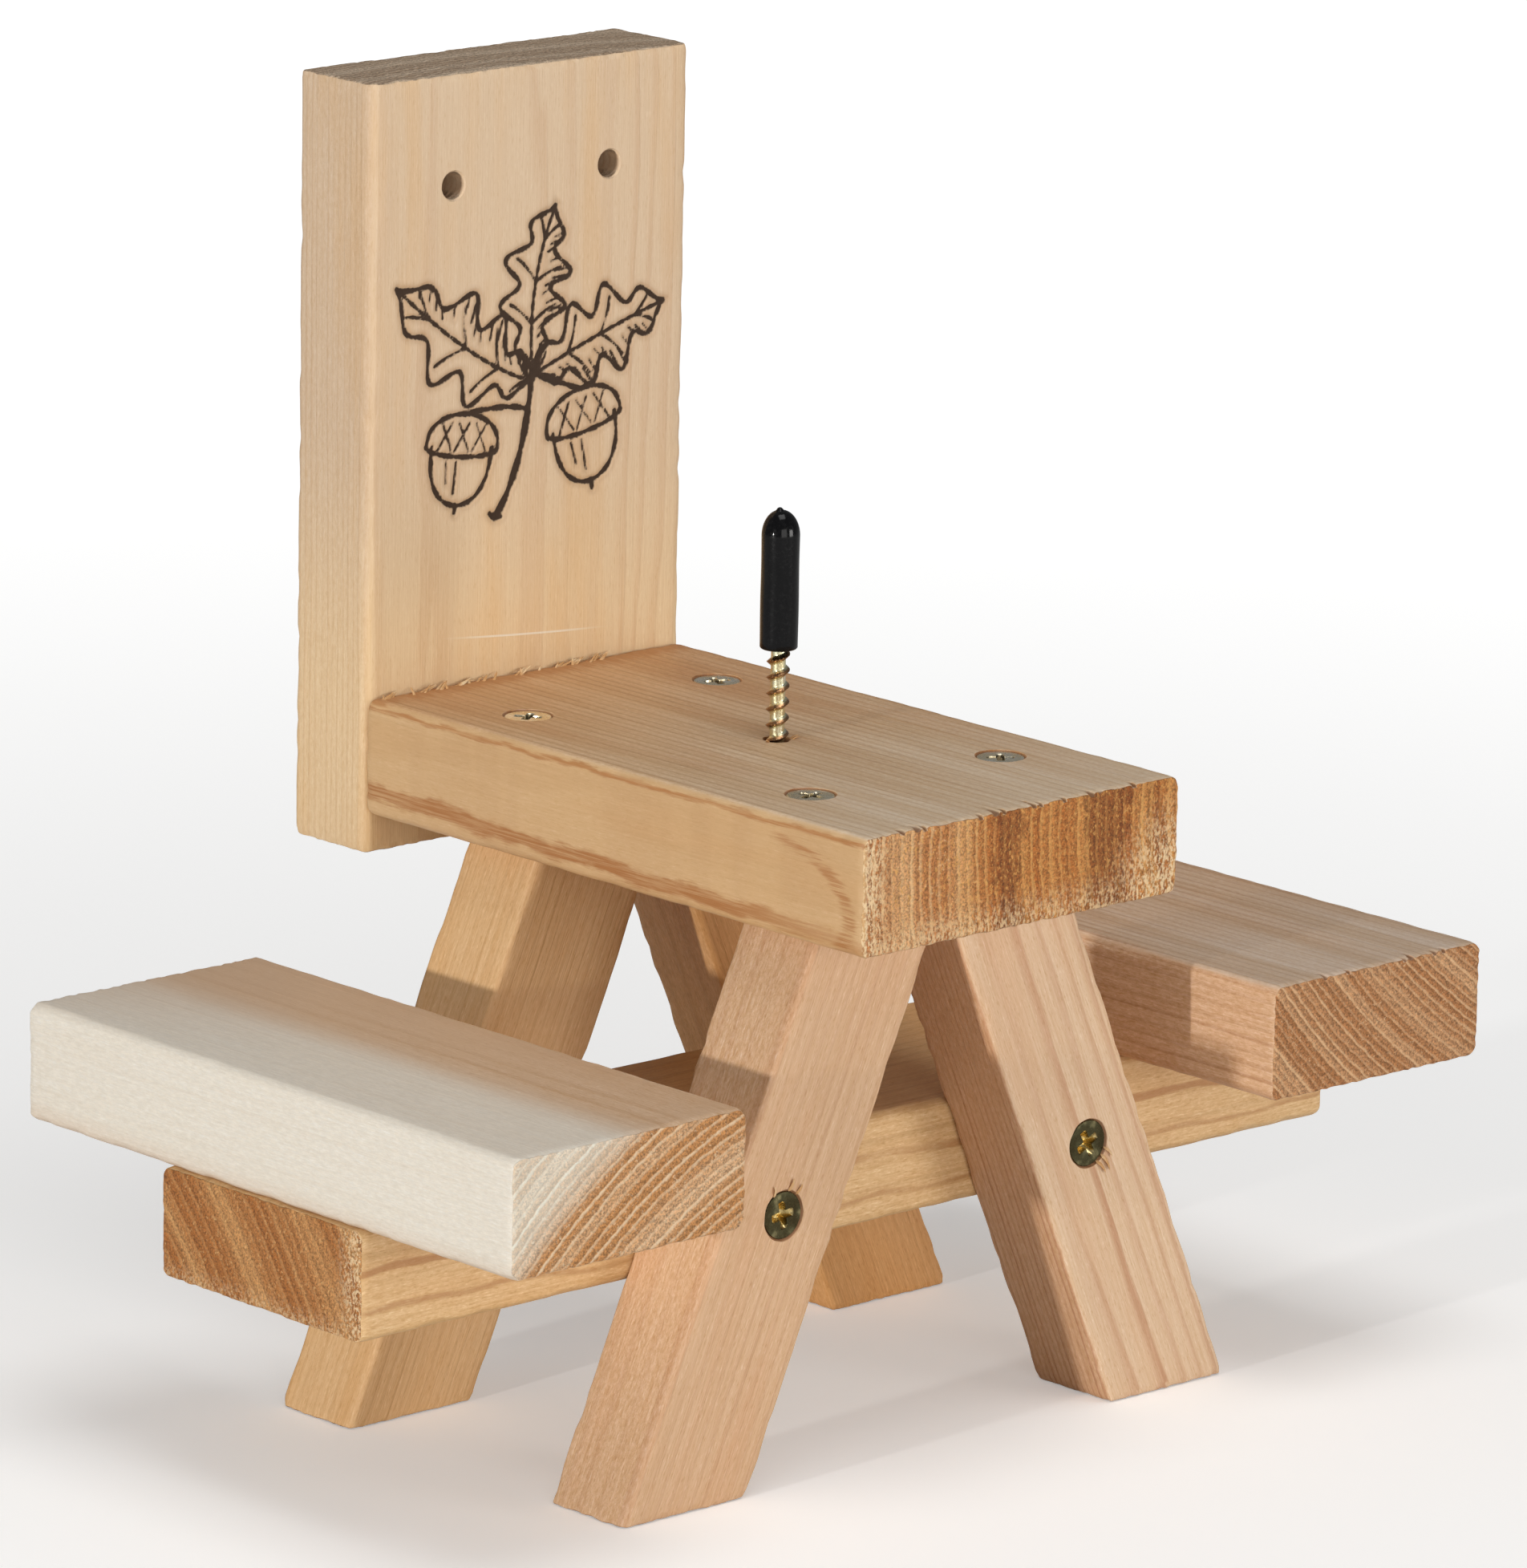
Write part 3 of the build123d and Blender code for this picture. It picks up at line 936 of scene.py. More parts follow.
# %% Cap
CAP_RADIUS = 4.0
BORE_RADIUS = 2.7
BORE_POINT = 5.0
BORE_ROOM = 0.2
LIP = 0.5
LIP_STEPS = 8
SIDE_STEPS = 25
DOME_HEIGHT = 5.4
DOME_STEPS = 27
NUB_HEIGHT = 0.6
NUB_RADIUS = 0.75
NUB_OFFSET = (-0.35, 0.1)
# How far above the spike's point the nub starts
NUB_START = 0.5
CAP_STEPS = 72
RIPPLE = 0.008


def cap_profile():
    """From the end of the bore down to the mouth, round the lip, up the side
    and over a dome that is an oval drawn a little to a point."""
    bore_top = spike_high[2] + BORE_ROOM
    dome_low = cap_high[2] - NUB_HEIGHT - DOME_HEIGHT
    a = np.linspace(0, pi, LIP_STEPS + 1)
    mid, half = (CAP_RADIUS + BORE_RADIUS) / 2, (CAP_RADIUS - BORE_RADIUS) / 2
    lip = np.stack([mid - half * np.cos(a), cap_low[2] + LIP - LIP * np.sin(a)], axis=1)
    side_z = np.linspace(cap_low[2] + LIP, dome_low, SIDE_STEPS + 1)[1:-1]
    side = np.stack([np.full(len(side_z), CAP_RADIUS), side_z], axis=1)
    b = np.linspace(0, pi / 2, DOME_STEPS + 1)
    dome = np.stack([CAP_RADIUS * np.cos(b) ** 0.92, dome_low + DOME_HEIGHT * np.sin(b) ** 1.04], axis=1)
    bore = np.array([(0, bore_top), (BORE_RADIUS, bore_top - BORE_POINT)])
    return np.concatenate([bore, lip, side, dome])


profile = cap_profile()
turns = np.linspace(0, 2 * pi, CAP_STEPS + 1)
turns[-1] = 0
radius, height = profile[:, :1], np.repeat(profile[:, 1:], CAP_STEPS + 1, axis=1)
# The ripple starts half way round the lip
outside = (np.arange(len(profile)) > 2 + LIP_STEPS / 2)[:, None]
radius = radius * (1 + outside * RIPPLE * np.sin(2 * turns + 0.35 * height))
x, y = radius * np.cos(turns), radius * np.sin(turns)
near_nub = np.hypot(x - NUB_OFFSET[0], y - NUB_OFFSET[1]) / NUB_RADIUS
rise = NUB_HEIGHT * np.sqrt(np.clip(1 - near_nub ** 2, 0, 1)) * (height > spike_high[2] + NUB_START)
cap_points = np.stack([x, y + spike_y, height + rise], axis=-1)
cap_piece = make_piece("vinyl_cap", *weld([grid(cap_points)]), body="cap")
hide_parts("spike_cap")

# %% [markdown]
# ## Materials
#
# Materials are node trees. Written node by node, a formula is long and hard to
# read, so a small class holds an output of a node and lets it be added or
# multiplied like a number: each sign adds one Math node. The other helpers add
# a node of another kind in the same way, so a formula reads from the inside out.

# %% Wires between nodes


class Wire:
    """An output of a node, which takes part in sums like a number."""

    def __init__(self, tree, socket):
        self.tree = tree
        self.socket = socket

    def math(self, operation, other=0.0, swapped=False):
        """A Math node of this value and another, in this order or swapped."""
        pair = (other, self) if swapped else (self, other)
        return wire(self.tree, "ShaderNodeMath", enumerate(pair), operation=operation)

    def __add__(self, other):
        return self.math("ADD", other)

    def __sub__(self, other):
        return self.math("SUBTRACT", other)

    def __rsub__(self, other):
        return self.math("SUBTRACT", other, swapped=True)

    def __mul__(self, other):
        return self.math("MULTIPLY", other)

    def __truediv__(self, other):
        return self.math("DIVIDE", other)

    def __pow__(self, other):
        return self.math("POWER", other)

    def __abs__(self):
        return self.math("ABSOLUTE")


def fill(socket, value):
    """Link a wire to a socket, or set the socket to a value.  A colour of three
    parts gets its fourth, which says that it is solid."""
    if isinstance(value, Wire):
        value.tree.links.new(value.socket, socket)
    elif socket.type == "RGBA":
        socket.default_value = (*value, 1)
    else:
        socket.default_value = value


def wire(tree, kind, inputs=(), output=0, **settings):
    """An output of a new node, with its settings made and its inputs filled."""
    node = tree.nodes.new(kind)
    for key, value in settings.items():
        setattr(node, key, value)
    for key, value in dict(inputs).items():
        fill(node.inputs[key], value)
    return Wire(tree, node.outputs[output])


def vector_math(operation, vector, other=(0, 0, 0), output=0):
    """A Vector Math node of a vector and another."""
    return wire(vector.tree, "ShaderNodeVectorMath", {0: vector, 1: other}, output, operation=operation)


def parts(vector):
    """The three parts of a vector."""
    node = wire(vector.tree, "ShaderNodeSeparateXYZ", {0: vector}).socket.node
    return [Wire(vector.tree, socket) for socket in node.outputs]


def noise(place, scale, detail=2.0, rough=0.55):
    """Soft noise from about 0.2 to 0.8, one unit of the scaled place to a feature."""
    scaled = vector_math("MULTIPLY", place, scale)
    inputs = {"Vector": scaled, "Scale": 1.0, "Detail": detail, "Roughness": rough}
    return wire(place.tree, "ShaderNodeTexNoise", inputs, noise_dimensions="3D")


def ramp(value, low, high, to_low=0.0, to_high=1.0):
    """A smooth step from one level to another between two values."""
    inputs = {0: value, 1: low, 2: high, 3: to_low, 4: to_high}
    return wire(value.tree, "ShaderNodeMapRange", inputs, interpolation_type="SMOOTHSTEP")


def blend(share, a, b, mode="MIX"):
    """Two colours mixed by a share."""
    tree = next(value.tree for value in (share, a, b) if isinstance(value, Wire))
    settings = {"data_type": "RGBA", "blend_type": mode, "clamp_factor": True}
    return wire(tree, "ShaderNodeMix", {0: share, 6: a, 7: b}, 2, **settings)


def gain(colour, factors, share=1.0):
    """A colour with each part multiplied, which keeps its texture, by a share."""
    return blend(share, colour, factors, "MULTIPLY")


def grey(shade):
    """A colour with all its parts alike."""
    return wire(shade.tree, "ShaderNodeCombineColor", {part: shade for part in range(3)})


def stored(tree, name):
    """A value that was kept at each point of a piece."""
    return wire(tree, "ShaderNodeAttribute", {}, "Fac", attribute_name=name, attribute_type="GEOMETRY")


helpers = (vector_math, parts, noise, ramp, blend, gain, grey, stored)
print("wires come from", ", ".join(helper.__name__ for helper in helpers))

# %% A material and its shader
Look = namedtuple("Look", "material tree shader metres normal")


def new_look(name):
    """A material, its shader, and the place and facing of each point."""
    material = bpy.data.materials.new(name)
    material.use_nodes = True
    tree = material.node_tree
    given = tree.nodes.new("ShaderNodeTexCoord").outputs
    shader = tree.nodes["Principled BSDF"].inputs
    return Look(material, tree, shader, Wire(tree, given["Object"]), Wire(tree, given["Normal"]))


def dress(look, colour, roughness, height, strength, depth):
    """Feed a shader with a colour, a roughness and a bump of some depth."""
    bump = {"Height": height, "Strength": strength, "Distance": depth}
    fill(look.shader["Base Color"], colour)
    fill(look.shader["Roughness"], roughness)
    fill(look.shader["Normal"], wire(look.tree, "ShaderNodeBump", bump))


print("a look holds", ", ".join(Look._fields))

# %% [markdown]
# ## Cedar
#
# Cedar is drawn as it grows: rings round a distant pith, fine fibres along the
# grain, and slow changes of tone. A flat wood picture would not agree from one
# face to the next, but a formula in space does: the same rings show as lines on
# the faces and as arcs on the sawn ends. All boards share one node group. It
# takes the place in millimetres from the pith, with Z along the grain. On the
# ends the early wood is rough and dark, and the hard late wood stands out pale.
# Edges that were sawn and not planed show flakes of lifted fibre.

# %% The cedar group
SHADE_POWERS = (0.6, 1.0, 1.6)
CEDAR_INPUTS = {
    "Vector": ("Place",),
    "Float": ("End", "Ring", "Waver", "Line", "Fibre", "End Line", "Sawn"),
    "Color": ("Early", "Late", "Patch", "End Dark", "End Light"),
}
CEDAR_OUTPUTS = {"Color": ("Colour",), "Float": ("Roughness", "Height", "Radius")}


def brown_shade(shade):
    """A shade as a colour that browns as it darkens: each part of the colour is
    the shade raised to its own power, so red changes least and blue most."""
    powers = {part: shade ** power for part, power in enumerate(SHADE_POWERS)}
    return wire(shade.tree, "ShaderNodeCombineColor", powers)


def late_wood(saw):
    """The dark last part of each ring, from the share of the ring passed."""
    return ramp(saw, 0.45, 0.86) * ramp(saw, 1.0, 0.9)


def cedar_group():
    """Rings are the distance from the pith, wavered by slow noise, divided by
    the ring width; late wood is the last part of each ring."""
    tree = bpy.data.node_groups.new("Cedar", "ShaderNodeTree")
    for way, sockets in (("INPUT", CEDAR_INPUTS), ("OUTPUT", CEDAR_OUTPUTS)):
        for kind, names in sockets.items():
            for name in names:
                tree.interface.new_socket(name, in_out=way, socket_type="NodeSocket" + kind)
    given = {socket.name: Wire(tree, socket) for socket in tree.nodes.new("NodeGroupInput").outputs}
    place, end = given["Place"], given["End"]

    slow = noise(place, (0.045, 0.045, 0.008))
    shiver = noise(place, (0.35, 0.35, 0.022))
    waver = (slow - 0.5) * given["Waver"] + (shiver - 0.5) * 0.9
    flat = vector_math("MULTIPLY", place, (1, 1, 0))
    radius = vector_math("LENGTH", flat, output="Value") + waver
    count = radius / given["Ring"]
    saw = count.math("FRACT")
    year = wire(tree, "ShaderNodeTexWhiteNoise", {"W": count.math("FLOOR")}, noise_dimensions="1D")
    strong = year * 0.75 + 0.35
    late = late_wood(saw) * strong
    thin = ramp(saw, 0.56, 0.8) * ramp(saw, 1.0, 0.88)
    era = wire(tree, "ShaderNodeTexNoise", {"W": count * 0.3, "Scale": 1.0}, noise_dimensions="1D")

    fibre = noise(place, (2.6, 2.6, 0.045), 3.0, 0.65)
    hair = noise(place, (7.0, 7.0, 0.22), 2.0, 0.6)
    tone = noise(place, (0.09, 0.09, 0.012), 3.0)
    grit = noise(place, (1.2, 1.2, 1.2), 3.0, 0.7)
    pore = noise(place, (1.9, 1.9, 1.9), 3.0, 0.7)
    speck = noise(place, (3.4, 3.4, 0.55), 1.0)
    flake = noise(place, (1.25, 1.25, 0.6), 3.0, 0.75)

    face = blend(late * given["Line"], given["Early"], given["Late"])
    face = blend(ramp(tone, 0.46, 0.7, 0.0, 0.8), face, given["Patch"])
    shade = ramp(fibre, 0.3, 0.7, 0.88, 1.08) * ramp(hair, 0.3, 0.7, 0.95, 1.04)
    shade = shade * ramp(speck, 0.42, 0.28, 1.0, 0.8) * ramp(speck, 0.6, 0.73, 1.0, 1.2)
    shade = (shade - 1.0) * given["Fibre"] + 1.0
    nap = ramp(flake, 0.34, 0.68, 0.86, 1.22) - 1.0
    face = gain(face, brown_shade(shade * (nap * given["Sawn"] + 1.0)))

    cut = blend(ramp(era, 0.4, 0.7, 0.0, 0.34), given["End Dark"], given["End Light"])
    cut = gain(cut, grey(ramp(pore, 0.3, 0.68, 0.5, 1.42) * ramp(saw, 0.05, 0.5, 0.84, 1.06)))
    broken = ramp(grit, 0.3, 0.56, 0.45, 0.95) * strong * given["End Line"]
    cut = blend(thin * broken, cut, given["End Light"])
    cut = blend(ramp(grit, 0.56, 0.72, 0.0, 0.7), cut, given["End Light"])

    ridge = fibre * 0.55 + hair * 0.25 + late * 0.3 + flake * 2.6 * given["Sawn"]
    coarse = grit * 2.4 + pore + thin * 0.5
    results = {
        "Colour": blend(end, face, cut),
        "Roughness": ramp(fibre, 0.3, 0.7, 0.46, 0.6) + end * 0.3,
        "Height": wire(tree, "ShaderNodeMix", {0: end, 2: ridge, 3: coarse}),
        "Radius": radius,
    }
    out = tree.nodes.new("NodeGroupOutput").inputs
    for name, value in results.items():
        fill(out[name], value)
    return tree


cedar = cedar_group()
print("cedar group:", len(cedar.nodes), "nodes")

# %% [markdown]
# ## One finish for each board
#
# Every board is cut from another part of a log. A finish says how the place is
# turned so that Z runs along the grain, where the pith lies from the middle of
# the board, how wide the rings are and how strong each mark is, and the colours.
# Colours are those of the wood itself, in linear light, judged from the
# photograph under its own light.

# %% Board finishes
TURN_Y = (pi / 2, 0, 0)
TURN_X = (0, -pi / 2, 0)
LEAN_LEFT = (0, -atan(leg_slope), 0)
LEAN_RIGHT = (0, atan(leg_slope), 0)
LEG_ENDS = ((0.42, 0.20, 0.08), (0.62, 0.38, 0.2))
Finish = namedtuple(
    "Finish", "turn pith ring waver line fibre end_line sawn early late patch end_dark end_light")
finishes = {
    "back_board": Finish(
        (0, 0, 0), (14, 150), 1.7, 4.0, 0.5, 0.45, 0.5, 0.3,
        (0.70, 0.52, 0.345), (0.60, 0.39, 0.23), (0.69, 0.47, 0.27),
        (0.36, 0.25, 0.16), (0.72, 0.585, 0.44)),
    "table_top": Finish(
        TURN_Y, (-101, 7), 2.6, 2.2, 0.75, 1.1, 0.65, 0.25,
        (0.64, 0.42, 0.23), (0.46, 0.25, 0.11), (0.58, 0.33, 0.155),
        (0.37, 0.118, 0.021), (0.71, 0.385, 0.118)),
    "left_seat": Finish(
        TURN_Y, (-75.6, -112.1), 2.4, 1.0, 0.5, 0.9, 1.0, 0.4,
        (0.66, 0.46, 0.30), (0.54, 0.33, 0.18), (0.62, 0.41, 0.25),
        (0.47, 0.215, 0.07), (0.80, 0.60, 0.39)),
    "right_seat": Finish(
        TURN_Y, (-130, 144.5), 1.9, 1.2, 0.7, 0.9, 0.85, 0.7,
        (0.70, 0.45, 0.27), (0.48, 0.24, 0.12), (0.66, 0.40, 0.23),
        (0.36, 0.15, 0.05), (0.72, 0.46, 0.25)),
    "seat_beam": Finish(
        TURN_X, (-164, -226), 3.0, 2.4, 0.32, 1.0, 0.3, 0.45,
        (0.745, 0.49, 0.24), (0.46, 0.24, 0.085), (0.71, 0.44, 0.20),
        (0.335, 0.12, 0.026), (0.70, 0.42, 0.17)),
    "front_left_leg": Finish(
        LEAN_LEFT, (70, 34), 3.0, 2.4, 0.5, 1.0, 0.6, 0.75,
        (0.68, 0.435, 0.252), (0.54, 0.29, 0.155), (0.66, 0.385, 0.21), *LEG_ENDS),
    "front_right_leg": Finish(
        LEAN_RIGHT, (24, 92), 1.65, 1.6, 0.85, 0.9, 0.6, 0.5,
        (0.74, 0.52, 0.335), (0.54, 0.28, 0.15), (0.71, 0.46, 0.28), *LEG_ENDS),
    "rear_left_leg": Finish(
        LEAN_LEFT, (60, 60), 1.9, 1.2, 0.4, 0.9, 0.6, 0.25,
        (0.78, 0.50, 0.25), (0.60, 0.33, 0.13), (0.75, 0.45, 0.20), *LEG_ENDS),
    "rear_right_leg": Finish(
        LEAN_RIGHT, (80, 20), 1.8, 2.0, 0.4, 0.9, 0.6, 0.6,
        (0.75, 0.41, 0.165), (0.54, 0.25, 0.07), (0.69, 0.35, 0.12), *LEG_ENDS),
}
# Where a point lies, in millimetres, how far it faces an end, a narrow edge or
# upwards, and its distance from the pith
At = namedtuple("At", "spot x y z place end edge top radius")
print("finishes for", ", ".join(finishes))

# %% [markdown]
# ## Sapwood on the left seat
#
# The outer wood of a log is almost white. One ring parts it from the heartwood.
# A plain pale colour would hide the grain, so the heartwood's own colour is
# raised, and only partly covered.

# %% Sapwood
SAPWOOD = (0.80, 0.745, 0.65)
SAP_GAIN = (1.14, 1.48, 1.92)
SAP_RADIUS = 146.0
PATINA = (0.62, 0.43, 0.28)


def sapwood(colour, at):
    """Pale sapwood outside one ring of the left seat: the heartwood's own colour
    with each part raised keeps its rings and fibres, a plain pale tone over it
    evens them out, and fine glints roughen it.  The top is browner towards the
    rear."""
    pale = ramp(at.radius, SAP_RADIUS - 5, SAP_RADIUS + 4)
    plain = ramp(at.end, 0.0, 1.0, 0.7, 0.5)
    glint = ramp(noise(at.spot, (1.7, 0.4, 2.0), 3.0, 0.75), 0.34, 0.7, 0.955, 1.06)
    sap = gain(blend(plain, gain(colour, SAP_GAIN), SAPWOOD), grey(glint))
    rear = ramp(at.y + at.x * 2.0, -250.0, -130.0, 0.0, 0.55)
    return blend(rear * at.top, blend(pale, colour, sap), PATINA)


print("sapwood starts", SAP_RADIUS, "mm from the pith")

# %% [markdown]
# ## Weathered tops with a painted sheen
#
# Sun, rain and hands turn the upper faces of the table and the right seat grey,
# most towards the free end. The grey is also a painted sheen: the whitish glare
# that an upper face shows at a grazing view is painted into its colour. The
# greyed colour covers part of the wood, and the rings and streaks are drawn over
# it again.

# %% Weathered tops with a painted sheen
Top = namedtuple("Top", "grey line streak rear_gain")
TOPS = {
    "table_top": Top((0.75, 0.605, 0.44), 0.09, 0.88, (0.91, 0.78, 0.65)),
    "right_seat": Top((0.62, 0.50, 0.385), 0.07, 0.9, None),
}


def weathered_with_sheen(colour, at, name):
    """A greyer top from weather and a painted sheen, paler still towards the free
    end and browner towards the rear, with the rings as soft lines and fine streaks."""
    top = TOPS[name]
    cloud = noise(at.spot, (0.05, 0.012, 0.05))
    front = ramp(at.y + cloud * 70.0, 20.0, -55.0, 0.2, 0.68)
    # The grey mixed in here is weather and a painted sheen at once, strongest at the free end.
    colour = blend(at.top * front, colour, top.grey)
    broad = noise(at.spot, (0.13, 0.006, 0.1))
    fine = noise(at.spot, (1.1, 0.02, 0.5), 3.0, 0.7)
    dots = noise(at.spot, (1.6, 0.8, 0.5), 2.0, 0.7)
    line = late_wood((at.radius / finishes[name].ring).math("FRACT"))
    streak = ramp(broad, 0.36, 0.66, top.streak, 1.06) * ramp(fine, 0.3, 0.7, 0.93, 1.06)
    streak = streak * ramp(dots, 0.3, 0.7, 0.92, 1.08) * (1.04 - line * top.line)
    colour = gain(colour, brown_shade(streak), at.top)
    if top.rear_gain:
        colour = gain(colour, top.rear_gain, ramp(at.y, -28.0, 58.0) * at.top)
    return colour


print("weathered:", ", ".join(TOPS))

# %% [markdown]
# ## Marks of the table top
#
# The table's left side was cut along one ring, so it is plain, with two brown
# streaks of late wood and the end of a curl. Its free end is the roughest cut of
# all: pale at the left, with dark bands that follow the rings, and pale fuzz
# where the saw left fibres standing. Each mark is a distance from a line, with
# noise added so that it frays, turned into a share of its colour.

# %% The table's side
STREAK = (0.42, 0.175, 0.052)
STREAK_SOFT = (0.60, 0.37, 0.175)
PALE_SIDE = (0.68, 0.44, 0.212)
STREAK_RISE = 4.3
STREAK_DROP = 1.5
CURL_MIDDLE = (-60.0, 124.0)
CURL_REACH = (25.0, 13.5)


def left_face(at):
    """1 on the table's left side, 0 elsewhere."""
    return ramp(at.x, table_low[0] + 1.85, table_low[0] + 0.85)


def table_side(colour, at):
    """The left side, plain and pale with a faint figure across the grain and two
    streaks: a broad one that runs out at the lower edge and a thin broken one
    along the upper edge.  The curl is part of an oval round its middle."""
    wander = noise(at.spot, (0.0, 0.06, 0.1), 3.0) - 0.5
    fray = noise(at.spot, (1.0, 0.12, 1.6), 3.0, 0.7) - 0.5
    strand = noise(at.spot, (0.5, 0.05, 1.9), 3.0, 0.7)
    figure = noise(at.spot, (0.0, 0.09, 0.012))
    on_side = left_face(at)
    plain = blend(ramp(figure, 0.4, 0.62, 0.0, 0.5), PALE_SIDE, STREAK_SOFT)
    colour = blend(on_side * 0.62, colour, plain)
    lower = at.y * 0.02 + (table_low[2] + STREAK_RISE) + wander * 5.0
    broad = ramp(abs(at.z - lower) + fray * 3.2, 2.5, 0.9) * ramp(at.y, -84.0, -40.0, 0.5, 1.0)
    upper = float(table_high[2]) - STREAK_DROP - wander * 2.5
    thin = ramp(abs(at.z - upper) + fray * 1.6, 0.75, 0.2, 0.0, 0.85)
    streak = broad.math("MAXIMUM", thin) * ramp(strand, 0.34, 0.58, 0.45, 1.0)
    colour = blend(streak * on_side, colour, STREAK)
    along = (at.y - CURL_MIDDLE[0]) / CURL_REACH[0]
    above = (at.z - CURL_MIDDLE[1]) / CURL_REACH[1]
    oval = (along ** 2.0 + above ** 2.0).math("SQRT") + fray * 0.22
    curl = ramp(abs(oval - 1.0), 0.12, 0.03) * ramp(strand, 0.4, 0.6, 0.1, 0.8)
    curl = curl * ramp(at.y, CURL_MIDDLE[0], CURL_MIDDLE[0] - 6.0)
    return blend(curl * on_side, colour, STREAK)


print("streaks", STREAK_RISE, "mm above the lower edge and", STREAK_DROP, "mm below the upper one")

# %% The table's ends
PALE_END_GAIN = (1.16, 1.46, 2.5)
DARK_GAIN = (0.54, 0.44, 0.34)
# Distance from the pith, half width and strength of each dark band
END_BANDS = ((105.0, 3.2, 0.85), (78.0, 6.0, 0.8), (63.0, 2.5, 0.4))
HAIR = (0.74, 0.38, 0.10)
FUZZ = (0.86, 0.66, 0.40)
CORNER = (table_high[0], table_low[1], table_low[2])


def table_ends(colour, at):
    """Torn brown fibres where the top meets the back board.  The free end is
    paler at the left, has darker bands that follow the rings, pale ticks of
    fibre, and pale fuzz along its left and lower edges, most at the right
    corner."""
    comb = noise(at.spot, (0.9, 0.12, 0.5))
    rear = ramp(at.y + comb * 16.0, table_high[1] - 1.0, table_high[1] + 5.0)
    rear = rear * ramp(at.z, table_high[2] - 1.2, table_high[2] - 0.5, 0.0, 0.75)
    colour = blend(rear, colour, STREAK)
    fleck = noise(at.spot, (1.0, 0.6, 0.8), 3.0, 0.7)
    left = ramp(at.x + fleck * 10.0, 0.0, -22.0, 0.0, 0.85) * (1.0 - left_face(at))
    colour = gain(colour, PALE_END_GAIN, left * at.end)
    mottle = noise(at.spot, (0.2, 0.1, 0.14), 3.0, 0.6) - 0.5
    wavy = at.radius + mottle * 16.0
    darker = gain(colour, DARK_GAIN)
    for middle, half, strength in END_BANDS:
        band = ramp(abs(wavy - middle), half + 1.6, half - 1.2, 0.0, strength)
        colour = blend(band * at.end, colour, darker)
    hair = noise(at.spot, (1.7, 0.6, 0.9), 3.0, 0.7)
    colour = blend(ramp(hair, 0.54, 0.64, 0.0, 0.6) * at.end, colour, HAIR)
    from_corner = vector_math("DISTANCE", at.spot, CORNER, "Value")
    low_edge = ramp(at.z, table_low[2] + 9, table_low[2], 0.0, 0.7)
    fuzzy = ramp(from_corner, 24.0, 8.0).math("MAXIMUM", low_edge)
    fuzzy = fuzzy.math("MAXIMUM", ramp(at.x, -35.0, -42.5))
    return blend(fuzzy * ramp(hair, 0.43, 0.58, 0.0, 0.8) * at.end, colour, FUZZ)


print("dark bands on the table's ends:", len(END_BANDS))

# %% [markdown]
# ## Marks of the beam
#
# The beam's flanks show late wood as a few broken brown lines, drawn like the
# streaks of the table. Its ends are fuzzy along the front and lower edges.

# %% The beam
# Share of the beam's height, half width and strength of each line
BEAM_LINES = ((0.60, 0.75, 0.7), (0.24, 0.45, 0.5))


def beam_marks(colour, at):
    """Lines on the flanks that keep a share of the beam's height, wander, and
    come and go, and pale fuzz on the ends."""
    wander = noise(at.spot, (0.022, 0.5, 0.03)) - 0.5
    fray = noise(at.spot, (0.12, 1.0, 1.6), 3.0, 0.7) - 0.5
    come = noise(at.spot, (0.03, 0.5, 0.12))
    lined = colour
    for share, half, strength in BEAM_LINES:
        height = beam_low[2] + share * (beam_high[2] - beam_low[2])
        off = abs(at.z - (wander * 7.0 + height)) + fray * 1.1
        line = ramp(off, half + 0.5, half - 0.3) * ramp(come, 0.36, 0.56, 0.25, strength)
        lined = blend(line, lined, STREAK)
    colour = blend(at.edge, colour, blend(at.end, lined, colour))
    hair = noise(at.spot, (0.6, 1.5, 1.1), 3.0, 0.7)
    low_edge = ramp(at.z, beam_low[2] + 5.0, beam_low[2], 0.0, 0.6)
    fuzzy = ramp(at.y, beam_low[1] + 9.0, beam_low[1] + 2.0).math("MAXIMUM", low_edge)
    return blend(fuzzy * ramp(hair, 0.45, 0.6, 0.0, 0.75) * at.end, colour, FUZZ)


print("lines on the beam:", len(BEAM_LINES))

# %% [markdown]
# ## Burned and torn wood, and painted shade in hollows
#
# The sprig is charred where the iron ran and scorched beside it. The distance
# to the strokes was kept at each point, so char and halo are two steps of that
# distance. Notches and screw pits are dark in the same way, by the values that
# were kept for them: partly torn and crushed wood, partly a painted shade in
# those hollows.

# %% Burned and torn wood, painted shade in hollows
TORN_AND_SHADE = (0.24, 0.10, 0.036)
CHAR = (0.028, 0.013, 0.007)
SCORCH = (0.36, 0.18, 0.07)
GOLDEN_TONE_AND_PAINTED_LIGHT = (1.19, 1.17, 1.02)
SCRATCH = (0.9, 0.8, 0.66)
SCRATCH_HEIGHT = 150.0
SCRATCH_SLOPE = -0.08
SCRATCH_BOW = 0.0006


